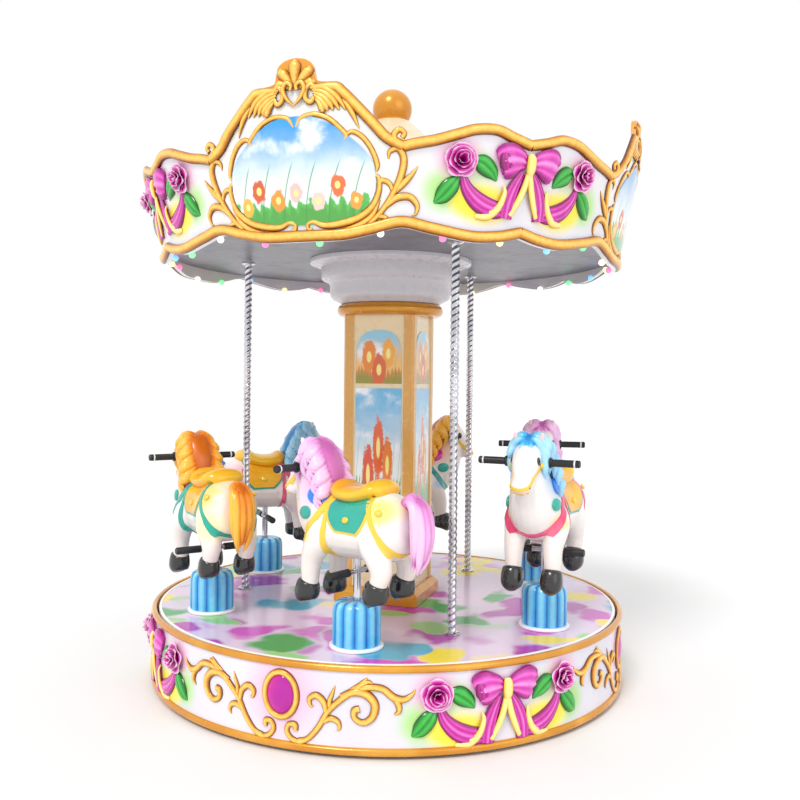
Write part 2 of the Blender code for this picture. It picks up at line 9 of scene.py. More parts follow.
from math import cos, pi, radians, sin, tau

import bmesh
import bpy
import numpy as np
from mathutils import Matrix, Vector
from mathutils.bvhtree import BVHTree


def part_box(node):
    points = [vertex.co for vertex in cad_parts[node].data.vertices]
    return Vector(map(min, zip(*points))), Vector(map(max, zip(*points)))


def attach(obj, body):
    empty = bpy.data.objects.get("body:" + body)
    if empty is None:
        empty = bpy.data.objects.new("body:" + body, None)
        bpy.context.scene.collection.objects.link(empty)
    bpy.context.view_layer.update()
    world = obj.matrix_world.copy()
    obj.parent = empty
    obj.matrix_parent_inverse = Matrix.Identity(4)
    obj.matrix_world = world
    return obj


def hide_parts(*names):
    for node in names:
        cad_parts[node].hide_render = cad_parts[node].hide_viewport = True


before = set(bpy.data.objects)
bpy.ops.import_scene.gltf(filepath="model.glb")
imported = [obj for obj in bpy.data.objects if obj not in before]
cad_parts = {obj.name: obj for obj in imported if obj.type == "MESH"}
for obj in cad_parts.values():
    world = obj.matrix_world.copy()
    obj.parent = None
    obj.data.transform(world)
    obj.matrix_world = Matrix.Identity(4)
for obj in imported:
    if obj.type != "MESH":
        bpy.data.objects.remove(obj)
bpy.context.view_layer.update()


def low(node):
    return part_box(node)[0]


def high(node):
    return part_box(node)[1]


def mm(*rows):
    """Rows of millimetres as rows of metres."""
    return [tuple(value / 1000 for value in row) for row in rows]


# Levels and radii, all from the frame
FLOOR = high("platform").z
RIM_TOP = high("base_top_rim").z
RIM_FOOT = low("base_top_rim").z
MOULDING_TOP = high("base_bottom_moulding").z
MOULDING_FOOT = low("base_bottom_moulding").z
BASE_RADIUS = high("base_top_rim").x
WALL_RADIUS = high("base_drum_wall").x
PLATFORM_RADIUS = high("platform").x
ROOF_TOP = high("roof").z
BALL_TOP = high("finial_ball").z
COLUMN_HALF = high("column_shaft").x
RING_RADIUS = high("column_ring").x

# Canopy wall: it leans outward up to the bend and stands nearly upright above it
CANOPY_FOOT = 1.887
CANOPY_FOOT_RADIUS = 1.057
CANOPY_BEND = 2.297
CANOPY_LEAN = 0.21
CROWN_LEAN = 0.01
CANOPY_THICKNESS = 0.022
CANOPY_REFERENCE = 1.10
ROOF_EDGE_HEIGHT = 2.167

# Where things stand round the axis, in degrees
QUARTERS = (0, 90, 180, 270)
FIRST_GEM = -3.0
FIRST_BOW = 42.0
CANOPY_BOW = 45.0
FIRST_POLE = 40.0
POLES = 3
POLE_RING = 0.71
PONIES = 6
FIRST_PONY = 10.0
PONY_TURNED_OUT = (-30.0, 12.0)
PEDESTAL_RING = 0.847
PANEL_SUNK = 0.008

# Canopy panel edges: degrees from the panel's middle, height above CANOPY_FOOT
CROWN_EDGE = ((0, 0.648), (2, 0.641), (3.5, 0.617), (4.2, 0.562), (7.5, 0.552), (9, 0.534),
              (12, 0.474), (15, 0.411), (17, 0.372), (20, 0.342), (22.5, 0.354), (26, 0.368),
              (30, 0.392), (33.5, 0.413), (37.5, 0.418), (41, 0.398), (45, 0.379))
LOWER_EDGE = ((0, -0.002), (8, 0.000), (14, 0.020), (20, 0.045), (26, 0.025), (34, 0.002),
              (40, 0.008), (45, 0.028))


# Shapes

def mesh_from(name, vertices, faces):
    mesh = bpy.data.meshes.new(name)
    mesh.from_pydata([tuple(vertex) for vertex in vertices], [], faces)
    mesh.update()
    return mesh


def points_of(mesh):
    points = np.zeros(len(mesh.vertices) * 3)
    mesh.vertices.foreach_get("co", points)
    return points.reshape(-1, 3)


def moved_points(mesh, points):
    mesh.vertices.foreach_set("co", np.asarray(points, float).ravel())
    mesh.update()
    return mesh


def smoothed(mesh, sharp_above=40):
    """Shades a mesh smooth, but for edges that turn by more than so many degrees."""
    mesh.shade_smooth()
    mesh.set_sharp_from_angle(angle=radians(sharp_above))
    return mesh


def faces_outward(mesh):
    """Merges doubles and turns every face of a closed mesh outward."""
    form = bmesh.new()
    form.from_mesh(mesh)
    bmesh.ops.remove_doubles(form, verts=form.verts, dist=1e-6)
    bmesh.ops.recalc_face_normals(form, faces=form.faces)
    form.to_mesh(mesh)
    form.free()
    return mesh


def joined(name, meshes):
    """Several meshes as one; the parts are removed."""
    form = bmesh.new()
    for mesh in meshes:
        form.from_mesh(mesh)
    whole = bpy.data.meshes.new(name)
    form.to_mesh(whole)
    form.free()
    for mesh in meshes:
        bpy.data.meshes.remove(mesh)
    return whole


def with_mark(mesh, name, values):
    """Stores a number, or a place of three numbers, for each vertex of a mesh."""
    values = np.asarray(values, float)
    kind, field = ("FLOAT_VECTOR", "vector") if values.ndim > 1 else ("FLOAT", "value")
    mesh.attributes.new(name, kind, "POINT").data.foreach_set(field, values.ravel())
    return mesh


def surface_of(mesh):
    """A mesh as a surface that rays and distances can be taken to."""
    return BVHTree.FromPolygons([vertex.co for vertex in mesh.vertices],
                                [polygon.vertices[:] for polygon in mesh.polygons])


def put(name, data):
    """An object in the scene that holds a mesh, a curve, a light or a camera."""
    made = bpy.data.objects.new(name, data)
    bpy.context.scene.collection.objects.link(made)
    return made


def result_of(carrier, name):
    """The plain mesh that a carrier's modifiers make; the carrier is removed."""
    seen = carrier.evaluated_get(bpy.context.evaluated_depsgraph_get())
    mesh = bpy.data.meshes.new_from_object(seen)
    mesh.name = name
    carrier.modifiers.clear()
    bpy.data.objects.remove(carrier)
    return mesh


def piece(name, mesh, finish, body, replaces=(), sharp_above=40):
    """Puts a finished mesh in the scene with its material and body, and hides the CAD nodes that it
    replaces.
    """
    mesh.materials.clear()
    mesh.materials.append(finish)
    smoothed(mesh, sharp_above)
    made = put(name, mesh)
    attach(made, body)
    if replaces:
        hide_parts(*replaces)


def on_ring(radius, bearing, height=0.0):
    """The point at a distance from the axis, a bearing in degrees and a height."""
    angle = radians(bearing)
    return radius * sin(angle), -radius * cos(angle), height


def smooth_path(stations, steps):
    """A smooth curve through stations, each a row of as many numbers as wanted."""
    rows = np.array(stations, float)
    rows = np.vstack([2 * rows[0] - rows[1], rows, 2 * rows[-1] - rows[-2]])
    curve = []
    for a, b, c, d in zip(rows, rows[1:], rows[2:], rows[3:]):
        for t in np.linspace(0, 1, steps, endpoint=False):
            bend = (2 * a - 5 * b + 4 * c - d) * t * t + (3 * b - a - 3 * c + d) * t ** 3
            curve.append(0.5 * (2 * b + (c - a) * t + bend))
    curve.append(rows[-2])
    return np.array(curve)


def skin(name, rings, closed=True, capped=True):
    """A skin over rings of equally many points; rings may close on themselves."""
    rings = np.asarray(rings, float)
    count, around = rings.shape[:2]
    faces = []
    for row in range(count - 1):
        for k in range(around if closed else around - 1):
            k_next = (k + 1) % around
            faces.append((row * around + k, row * around + k_next,
                          (row + 1) * around + k_next, (row + 1) * around + k))
    if capped:
        faces.append(tuple(range(around))[::-1])
        faces.append(tuple((count - 1) * around + k for k in range(around)))
    return mesh_from(name, rings.reshape(-1, 3), faces)


def turned(name, section, sides=160, place=(0, 0, 0)):
    """A turned form; its section of (radius, height) starts on the axis or closes on itself."""
    angles = np.arange(sides) * tau / sides
    rings = []
    for radius, height in section:
        ring = np.column_stack([radius * np.cos(angles), radius * np.sin(angles),
                                np.full(sides, height)])
        rings.append(ring + np.array(place))
    if section[0][0] != 0:
        rings.append(rings[0])
    return faces_outward(skin(name, rings, capped=False))


def turned_piece(name, section, finish, body, replaces=(), sides=160):
    piece(name, turned(name, section, sides), finish, body, replaces)


def arc(across, up, radius, start, end, count):
    """Points of a section on an arc about (across, up), from and to angles in degrees."""
    return [(across + radius * cos(radians(turn)), up + radius * sin(radians(turn)))
            for turn in np.linspace(start, end, count)]


def rounded(inner, outer, foot, top, bead):
    """Section of a band with its two outer edges and its inner top edge rounded."""
    soft = bead / 2
    return [(inner, foot), *arc(outer - bead, foot + bead, bead, -90, 0, 7),
            *arc(outer - bead, top - bead, bead, 0, 90, 7),
            (inner + soft, top), (inner + 0.3 * soft, top - 0.3 * soft), (inner, top - soft)]


# Walls that carry ornaments

def bent(points, radius_at, bearing, reference):
    """Points drawn flat, as (along, up, out), laid on a wall round the axis."""
    along, up, out = np.asarray(points, float).T
    angle = radians(bearing) + along / reference
    radius = radius_at(up) + out
    return np.column_stack([radius * np.sin(angle), -radius * np.cos(angle), up])


def drum_radius(height):
    return np.full_like(np.asarray(height, float), WALL_RADIUS)


def canopy_radius(height):
    """Outer radius of the canopy's leaning wall at a height."""
    leaning = np.minimum(height, CANOPY_BEND) - CANOPY_FOOT
    upright = np.maximum(np.asarray(height, float) - CANOPY_BEND, 0)
    return CANOPY_FOOT_RADIUS + CANOPY_LEAN * leaning + CROWN_LEAN * upright


def on_drum(points, bearing):
    return bent(points, drum_radius, bearing, WALL_RADIUS)


def on_canopy(points, bearing):
    lifted = np.asarray(points, float) + (0, CANOPY_FOOT, 0)
    return bent(lifted, canopy_radius, bearing, CANOPY_REFERENCE)


def on_column(points, bearing):
    """Points drawn flat, laid on the sunk face of the column that looks to a bearing."""
    along, up, out = np.asarray(points, float).T
    face = COLUMN_HALF - PANEL_SUNK
    angle = radians(bearing)
    x = along * cos(angle) + (face + out) * sin(angle)
    y = along * sin(angle) - (face + out) * cos(angle)
    return np.column_stack([x, y, up])


def laid(flat, wall, bearings):
    """Copies of a flat drawing's mesh, each laid on a wall at its bearing, as one mesh."""
    copies = []
    for bearing in bearings:
        copy = flat.copy()
        copies.append(moved_points(copy, wall(points_of(copy), bearing)))
    whole = joined(flat.name, copies)
    bpy.data.meshes.remove(flat)
    return whole


# Geometry Nodes helpers

def new_tree(name, inputs):
    """An empty Geometry Nodes tree with named inputs; returns it with its two end nodes."""
    tree = bpy.data.node_groups.new(name, "GeometryNodeTree")
    tree.interface.new_socket("Geometry", in_out="INPUT", socket_type="NodeSocketGeometry")
    for label, kind in inputs:
        tree.interface.new_socket(label, in_out="INPUT", socket_type="NodeSocket" + kind)
    tree.interface.new_socket("Geometry", in_out="OUTPUT", socket_type="NodeSocketGeometry")
    return tree, tree.nodes.new("NodeGroupInput"), tree.nodes.new("NodeGroupOutput")


def step(tree, kind, settings=(), **links):
    """A node; a keyword gives an input by its name, with _ for a space, or by _ and its number."""
    made = tree.nodes.new(kind)
    for attribute, value in dict(settings).items():
        setattr(made, attribute, value)
    for label, value in links.items():
        number = label[1:]
        key = int(number) if number.isdigit() else label.replace("_", " ")
        feed(tree, made.inputs[key], value)
    return made


def feed(tree, socket, value):
    """Links an output to a socket, or sets the socket to a plain value."""
    if isinstance(value, bpy.types.NodeSocket):
        tree.links.new(value, socket)
    else:
        socket.default_value = value


def finish_tree(tree, geometry, material, end):
    """Ends a tree with Realize Instances and Set Material."""
    real = step(tree, "GeometryNodeRealizeInstances", Geometry=geometry)
    coated = step(tree, "GeometryNodeSetMaterial", Geometry=real.outputs[0], Material=material)
    tree.links.new(coated.outputs[0], end.inputs[0])


def grown(name, data, tree, values):
    """The plain mesh that a tree makes from a curve or mesh, with its inputs set by name."""
    carrier = put(name, data)
    modifier = carrier.modifiers.new(name, "NODES")
    modifier.node_group = tree
    for item in tree.interface.items_tree:
        if item.in_out == "INPUT" and item.name in values:
            modifier[item.identifier] = values[item.name]
    return result_of(carrier, name)


def new_curve(name):
    curve = bpy.data.curves.new(name, "CURVE")
    curve.dimensions = "3D"
    return curve


def add_line(curve, points, closed=False):
    """Adds a line to a curve, through rows of (x, y, z) or (x, y, z, radius)."""
    line = curve.splines.new("POLY")
    line.points.add(len(points) - 1)
    for point, (x, y, z, *radius) in zip(line.points, points):
        point.co = (x, y, z, 1)
        if radius:
            point.radius = radius[0]
    line.use_cyclic_u = closed


def stroke_tree():
    """Sweeps a half-round section along flat curves; "rise" runs from foot 0 to ridge 1 and sets
    where the paints put painted shade and painted highlight.
    """
    tree, start, end = new_tree("moulded_stroke", [("Section", "Object"), ("Ridge", "Float"),
                                                   ("Finish", "Material")])
    section = step(tree, "GeometryNodeObjectInfo", Object=start.outputs["Section"])
    place = step(tree, "GeometryNodeInputPosition")
    parts = step(tree, "ShaderNodeSeparateXYZ", Vector=place.outputs[0])
    out = step(tree, "ShaderNodeMath", {"operation": "MULTIPLY"}, _0=parts.outputs["Y"], _1=-1.0)
    rise = step(tree, "ShaderNodeMath", {"operation": "DIVIDE"}, _0=out.outputs[0],
                _1=start.outputs["Ridge"])
    marked = step(tree, "GeometryNodeStoreNamedAttribute", {"data_type": "FLOAT", "domain": "POINT"},
                  Geometry=section.outputs["Geometry"], Name="rise", Value=rise.outputs[0])
    levelled = step(tree, "GeometryNodeSetCurveNormal", {"mode": "Z_UP"},
                    Curve=start.outputs["Geometry"])
    half_width = step(tree, "GeometryNodeInputRadius")
    swept = step(tree, "GeometryNodeCurveToMesh", Curve=levelled.outputs[0],
                 Profile_Curve=marked.outputs[0], Scale=half_width.outputs[0], Fill_Caps=True)
    finish_tree(tree, swept.outputs[0], start.outputs["Finish"], end)
    return tree


# Finishes

class Recipe:
    """A material in the making: short names for the nodes that a finish needs."""

    def __init__(self, name, colour, roughness, metallic=0.0, coat=0.0):
        self.material = bpy.data.materials.new(name)
        self.material.use_nodes = True
        self.tree = self.material.node_tree
        self.shader = self.tree.nodes["Principled BSDF"]
        levels = {"Roughness": roughness, "Metallic": metallic, "Coat Weight": coat,
                  "Coat Roughness": 0.08}
        for label, level in levels.items():
            self.shader.inputs[label].default_value = level
        self.roughness = roughness
        self.colour = (*colour, 1.0)
        self.place = self.step("TexCoord").outputs["Object"]

    def step(self, kind, settings=(), **links):
        return step(self.tree, "ShaderNode" + kind, settings, **links)

    def read(self, name, output="Fac"):
        return self.step("Attribute", {"attribute_name": name}).outputs[output]

    def calc(self, operation, *values, clamped=False):
        made = self.step("Math", {"operation": operation, "use_clamp": clamped})
        for socket, value in zip(made.inputs, values):
            feed(self.tree, socket, value)
        return made.outputs[0]

    def parts(self, vector):
        return self.step("SeparateXYZ", _0=vector).outputs

    def noise(self, scale, detail=3.0):
        return self.step("TexNoise", Vector=self.place, Scale=scale, Detail=detail).outputs["Fac"]

    def wander(self, scale, span, detail=3.0):
        """Noise about zero, as wide as the span."""
        return self.calc("MULTIPLY", self.calc("SUBTRACT", self.noise(scale, detail), 0.5), span)

    def between(self, value, start, end):
        """0 up to start, 1 from end, smooth between them; start may be the larger one."""
        flipped = start > end
        made = self.step("MapRange", {"interpolation_type": "SMOOTHSTEP"}, Value=value,
                         From_Min=min(start, end), From_Max=max(start, end),
                         To_Min=float(flipped), To_Max=float(not flipped))
        return made.outputs[0]

    def spot(self, across, up, centre, radii, soft=0.1, wobble=None):
        """1 inside an ellipse, 0 outside, with a soft edge."""
        x = self.calc("DIVIDE", self.calc("SUBTRACT", across, centre[0]), radii[0])
        y = self.calc("DIVIDE", self.calc("SUBTRACT", up, centre[1]), radii[1])
        reach = self.calc("SQRT", self.calc("ADD", self.calc("MULTIPLY", x, x),
                                            self.calc("MULTIPLY", y, y)))
        if wobble is not None:
            reach = self.calc("ADD", reach, wobble)
        return self.between(reach, 1 + soft, 1 - soft)

    def over(self, share, above, strength=1.0):
        """Lays a colour over what is there, by a share from 0 to 1 times a strength."""
        if strength != 1.0:
            share = self.calc("MULTIPLY", share, strength)
        top = above if isinstance(above, bpy.types.NodeSocket) else (*above, 1.0)
        mixed = self.step("Mix", {"data_type": "RGBA"}, _0=share, _6=self.colour, _7=top)
        self.colour = mixed.outputs[2]

    def ramp(self, value, stops, blend="LINEAR"):
        """A colour that runs through (place, colour) stops."""
        made = self.step("ValToRGB", _0=value)
        made.color_ramp.interpolation = blend
        elements = made.color_ramp.elements
        while len(elements) < len(stops):
            elements.new(0.5)
        for element, (place, colour) in zip(elements, stops):
            element.position = place
            element.color = (*colour, 1.0)
        return made.outputs[0]

    def mottled(self, amount, scale=9.0):
        """Uneven colour: a little darker and lighter in soft patches."""
        value = self.calc("ADD", self.wander(scale, 2 * amount), 1.0)
        self.colour = self.step("HueSaturation", Value=value, Color=self.colour).outputs[0]

    def done(self, bump_scale=420.0, bump=0.00006, uneven=0.06):
        """Sets the colour, patchy roughness and a fine orange peel, and gives the material."""
        rough = self.calc("ADD", self.wander(24.0, 2 * uneven), self.roughness, clamped=True)
        peel = self.step("Bump", Distance=bump, Height=self.noise(bump_scale, 2.0))
        for label, value in (("Base Color", self.colour), ("Roughness", rough),
                             ("Normal", peel.outputs[0])):
            feed(self.tree, self.shader.inputs[label], value)
        return self.material


# Tones of the relief gold by "rise": painted shade at a form's foot, painted half shade, the gold
# itself, painted highlight on the ridge
GOLD_PAINTED_SHADE = (0.08, 0.016, 0.001)
GOLD_PAINTED_HALF_SHADE = (0.36, 0.11, 0.004)
GOLD_MIDDLE = (0.72, 0.30, 0.018)
GOLD_PAINTED_HIGHLIGHT = (0.98, 0.62, 0.13)


def relief_gold():
    """Gold paint with painted shade in deep brown at the foot of a form and a painted highlight in
    pale yellow on its ridge.
    """
    mix = Recipe("relief_gold", GOLD_MIDDLE, 0.32, metallic=0.2, coat=0.2)
    rise = mix.calc("ADD", mix.calc("MULTIPLY", mix.read("rise"), 0.88),
                    mix.calc("MULTIPLY", mix.noise(60.0), 0.20))
    # The ramp paints shade at the foot of each form and a highlight on its ridge
    mix.colour = mix.ramp(rise, ((0.26, GOLD_PAINTED_SHADE), (0.52, GOLD_PAINTED_HALF_SHADE), (0.80, GOLD_MIDDLE),
                                 (0.98, GOLD_PAINTED_HIGHLIGHT)))
    mix.mottled(0.12, 14.0)
    return mix.done(bump_scale=260.0, bump=0.00012, uneven=0.10)


def plain_gold():
    """Gold paint on the plain mouldings, with darker patches where hands and feet rub."""
    mix = Recipe("moulding_gold", (0.64, 0.26, 0.015), 0.24, metallic=0.3, coat=0.3)
    mix.over(mix.between(mix.noise(5.0), 0.42, 0.72), (0.78, 0.38, 0.04))
    mix.over(mix.between(mix.noise(38.0, 6.0), 0.68, 0.84), (0.48, 0.18, 0.02))
    return mix.done(bump_scale=200.0, bump=0.00015, uneven=0.10)


def wall_parts(mix):
    """Bearing in radians, and height, on a wall round the axis."""
    x, y, z = mix.parts(mix.place)
    return mix.calc("ARCTAN2", x, mix.calc("MULTIPLY", y, -1.0)), z


def from_middle(mix, bearing, middle, radius):
    """Metres along the wall from the nearest of four middles, a quarter turn apart."""
    turned_by = mix.calc("SUBTRACT", bearing, radians(middle))
    nearest = mix.calc("WRAP", turned_by, pi / 4, -pi / 4)
    return mix.calc("MULTIPLY", nearest, radius)


PALE_LAVENDER = (0.62, 0.58, 0.74)
HALO_GREEN = (0.34, 0.78, 0.06)
HALO_YELLOW = (0.95, 0.80, 0.03)
HALO_PINK = (0.92, 0.40, 0.62)


def bow_halos(mix, across, up, knot):
    """Airbrushed colour under the roses and bows of one wall; knot is the bow's height."""
    halos = (((0.215, -0.020), (0.070, 0.055), 0.55, 0.60, HALO_GREEN),
             ((0.325, -0.110), (0.075, 0.070), 0.55, 0.75, HALO_GREEN),
             ((0.275, 0.000), (0.085, 0.080), 0.35, 0.55, HALO_PINK),
             ((0.080, 0.005), (0.080, 0.075), 0.35, 0.35, HALO_PINK),
             ((0.170, -0.150), (0.115, 0.070), 0.40, 0.95, HALO_YELLOW),
             ((0.240, -0.140), (0.060, 0.050), 0.50, 0.80, HALO_YELLOW))
    for side in (-1, 1):
        for (along, rise), radii, soft, strength, colour in halos:
            share = mix.spot(across, up, (side * along, knot + rise), radii, soft)
            mix.over(share, colour, strength)


def drum_shell():
    """White gelcoat with a lavender tint, airbrushed round its gems, roses and bows."""
    mix = Recipe("drum_white", (0.76, 0.74, 0.81), 0.24, coat=0.3)
    bearing, up = wall_parts(mix)
    mix.over(mix.between(mix.noise(2.2), 0.4, 0.75), PALE_LAVENDER, 0.5)
    bow = from_middle(mix, bearing, FIRST_BOW, WALL_RADIUS)
    bow_halos(mix, bow, up, BOW_ON_DRUM)
    gem = from_middle(mix, bearing, FIRST_GEM, WALL_RADIUS)
    mix.over(mix.spot(gem, up, (0, GEM_HEIGHT), (0.135, 0.145), 0.4), HALO_PINK, 0.5)
    scuffs = mix.between(mix.noise(52.0, 5.0), 0.66, 0.75)
    mix.over(scuffs, (0.55, 0.52, 0.50), 0.18)
    return mix.done()


def canopy_shell():
    """Warm white gelcoat, airbrushed round the roses and bows, ivory round the pictures."""
    mix = Recipe("canopy_white", (0.82, 0.80, 0.85), 0.24, coat=0.3)
    bearing, up = wall_parts(mix)
    middle = from_middle(mix, bearing, 0.0, CANOPY_REFERENCE)
    ivory = mix.spot(middle, up, (0, CANOPY_FOOT + 0.24), (0.42, 0.50), 0.3)
    mix.over(ivory, (0.90, 0.85, 0.74), 0.6)
    mix.over(mix.between(mix.noise(2.2), 0.45, 0.75), PALE_LAVENDER, 0.35)
    bow = from_middle(mix, bearing, CANOPY_BOW, CANOPY_REFERENCE)
    bow_halos(mix, bow, up, CANOPY_FOOT + BOW_ON_CANOPY)
    mix.over(mix.between(up, CANOPY_FOOT + 0.545, CANOPY_FOOT + 0.552), GOLD_MIDDLE)
    return mix.done()


def plain_finish(name, colour, roughness, metallic=0.0, coat=0.3, mottle=0.06, second=None):
    """A painted or moulded finish with soft patches and, where given, a second tone."""
    mix = Recipe(name, colour, roughness, metallic, coat)
    if second:
        mix.over(mix.between(mix.noise(6.0), 0.42, 0.68), second)
    mix.mottled(mottle)
    return mix.done()


def relief_finish(name, dark, middle, bright, roughness=0.24, coat=0.3, stops=(0.08, 0.55, 1.0)):
    """Paint on a raised form: dark at its foot as painted shade, bright on its ridge as a painted
    highlight.
    """
    mix = Recipe(name, middle, roughness, coat=coat)
    rise = mix.calc("ADD", mix.calc("MULTIPLY", mix.read("rise"), 0.92),
                    mix.calc("MULTIPLY", mix.noise(45.0), 0.14))
    # dark, middle and bright are the painted shade, the paint's own colour and the painted highlight
    mix.colour = mix.ramp(rise, tuple(zip(stops, (dark, middle, bright))))
    mix.mottled(0.08, 16.0)
    return mix.done()


def floor_paint():
    """The platform's glossy floor: blobs of six colours that melt into pale lavender."""
    mix = Recipe("floor_paint", (0.74, 0.58, 0.74), 0.20, coat=0.2)
    mix.shader.inputs["Specular IOR Level"].default_value = 0.3
    warp = mix.step("TexNoise", Vector=mix.place, Scale=3.2)
    pulled = mix.step("VectorMath", {"operation": "MULTIPLY_ADD"}, _0=warp.outputs["Color"],
                      _1=(0.55, 0.40, 0.0), _2=mix.place)
    cells = mix.step("TexVoronoi", {"feature": "F1"}, Vector=pulled.outputs[0], Scale=4.6)
    hue = mix.parts(cells.outputs["Color"])[0]
    blobs = mix.ramp(hue, ((0.0, (0.46, 0.03, 0.40)), (0.24, (0.90, 0.70, 0.02)),
                           (0.42, (0.03, 0.34, 0.05)), (0.56, (0.04, 0.38, 0.56)),
                           (0.68, (0.60, 0.06, 0.50)), (0.84, (0.30, 0.62, 0.20))), "CONSTANT")
    mix.over(mix.between(cells.outputs["Distance"], 0.60, 0.36), blobs)
    mix.over(mix.between(mix.noise(30.0, 6.0), 0.6, 0.8), (0.45, 0.40, 0.44), 0.12)
    return mix.done(bump_scale=120.0, bump=0.0001)


def column_paint():
    """Cream paint with brushed streaks and gold corner posts."""
    mix = Recipe("column_cream", (0.86, 0.72, 0.46), 0.26, coat=0.4)
    x, y, _ = mix.parts(mix.place)
    across = mix.calc("MINIMUM", mix.calc("ABSOLUTE", x), mix.calc("ABSOLUTE", y))
    mix.over(mix.between(across, COLUMN_HALF - 0.055, COLUMN_HALF - 0.045), (0.74, 0.38, 0.09))
    mix.over(mix.between(mix.noise(40.0, 5.0), 0.52, 0.72), (0.80, 0.52, 0.22), 0.35)
    return mix.done()


def picture(name, sky_high, sky_low, ground, blooms, seed):
    """A painted panel: sky over ground, grass blades and round blossoms."""
    mix = Recipe(name, sky_high, 0.22, coat=0.7)
    across, up, _ = mix.parts(mix.read("panel", "Vector"))
    drift = mix.wander(9.0, 0.35, 4.0)
    level = mix.calc("ADD", up, drift)
    mix.over(mix.between(level, 0.95, 0.35), sky_low)
    cloud = mix.between(mix.noise(7.0, 5.0), 0.50, 0.68)
    mix.over(cloud, (0.97, 0.98, 1.0), mix.between(up, 0.25, 0.6))
    blades = mix.calc("SINE", mix.calc("MULTIPLY", mix.calc("ADD", across, drift), 46.0))
    grass = mix.calc("ADD", 0.24, mix.calc("MULTIPLY", blades, 0.05))
    edge = mix.calc("SUBTRACT", grass, level)
    mix.over(mix.between(edge, -0.01, 0.03), ground)
    mix.over(mix.between(edge, 0.02, 0.14), (0.05, 0.28, 0.03), 0.6)
    sway = mix.calc("MULTIPLY", mix.calc("MULTIPLY", up, up), 0.5)
    stems = mix.calc("SINE", mix.calc("MULTIPLY", mix.calc("SUBTRACT", across, sway), 19.0 + seed))
    thin = mix.calc("MULTIPLY", mix.between(stems, 0.975, 0.995), mix.between(up, 0.62, 0.50))
    mix.over(thin, (0.04, 0.30, 0.04), 0.75)
    flutter = mix.wander(36.0 + seed, 0.9)
    for (place_x, place_y), size, colour in blooms:
        mix.over(mix.spot(across, up, (place_x, place_y), (size, size), 0.12, flutter), colour)
        mix.over(mix.spot(across, up, (place_x, place_y), (size * 0.35, size * 0.35), 0.2),
                 (1.0, 0.85, 0.25))
    return mix.done()


def bulb_glow():
    """Small lamps of several colours, each with its own from the attribute "lamp"."""
    mix = Recipe("bulb_glow", (1, 1, 1), 0.2, coat=0.3)
    mix.colour = mix.ramp(mix.read("lamp"), ((0.0, (0.06, 0.90, 0.20)), (0.2, (1.0, 1.0, 0.90)),
                                             (0.4, (1.0, 0.03, 0.30)), (0.6, (1.0, 0.85, 0.30)),
                                             (0.8, (0.05, 0.40, 1.0))))
    mix.over(mix.noise(300.0), (1, 1, 1), 0.3)
    feed(mix.tree, mix.shader.inputs["Emission Color"], mix.colour)
    mix.shader.inputs["Emission Strength"].default_value = 1.1
    return mix.done()


GEM_HEIGHT = 0.210
BOW_ON_DRUM = 0.240
BOW_ON_CANOPY = 0.289

GOLD_RELIEF = relief_gold()
GOLD_PLAIN = plain_gold()
CHROME = plain_finish("chrome", (0.72, 0.72, 0.75), 0.10, metallic=1.0, coat=0.0, mottle=0.05,
                      second=(0.50, 0.50, 0.55))
RUBBER = plain_finish("grip_rubber", (0.012, 0.012, 0.014), 0.42, coat=0.0, mottle=0.3)
FRAME_PAINT = plain_finish("frame_black", (0.03, 0.03, 0.03), 0.5, metallic=0.2, mottle=0.2)
MAGENTA = relief_finish("ribbon_magenta", (0.24, 0.001, 0.12), (0.66, 0.020, 0.40),
                        (0.88, 0.20, 0.64), stops=(0.50, 0.76, 1.0))
PINK_LOOP = relief_finish("ribbon_pink", (0.34, 0.003, 0.20), (0.76, 0.06, 0.50),
                          (0.92, 0.32, 0.74), stops=(0.48, 0.74, 0.98))
# The darker magenta of the bow's opening is painted shade inside the loop; the pleats themselves are
# modelled
SHADED_PLEATS = relief_finish("ribbon_pleats", (0.16, 0.0, 0.07), (0.40, 0.002, 0.22),
                       (0.60, 0.02, 0.38), stops=(0.52, 0.78, 1.0))
YELLOW = relief_finish("ribbon_yellow", (0.62, 0.28, 0.01), (0.90, 0.60, 0.06),
                       (0.98, 0.84, 0.30))
LEAF_GREEN = relief_finish("leaf_green", (0.0, 0.05, 0.006), (0.004, 0.20, 0.015),
                           (0.05, 0.60, 0.06))
PETAL = relief_finish("rose_petal", (0.36, 0.001, 0.20), (0.74, 0.05, 0.46), (0.98, 0.80, 0.94))
GEM = plain_finish("gem_magenta", (0.60, 0.0, 0.30), 0.10, coat=0.4, mottle=0.10,
                   second=(0.42, 0.0, 0.30))


# Base, platform, column, ceiling and roof

def make_base():
    """The round drum: white wall between two rounded gold mouldings, and its steel frame."""
    inner = PLATFORM_RADIUS + 0.010
    for node, foot, top in (("base_top_rim", RIM_FOOT, RIM_TOP),
                            ("base_bottom_moulding", MOULDING_FOOT, MOULDING_TOP)):
        turned_piece(node + "_gold", rounded(inner, BASE_RADIUS, foot, top, 0.012), GOLD_PLAIN,
                     "base", [node])
    wall = [(WALL_RADIUS, height) for height in np.linspace(MOULDING_TOP, RIM_FOOT, 5)]
    turned_piece("base_drum_shell", [(inner, MOULDING_TOP), *wall, (inner, RIM_FOOT)],
                 drum_shell(), "base", ["base_drum_wall"])
    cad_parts["base_chassis"].data.materials[0] = FRAME_PAINT


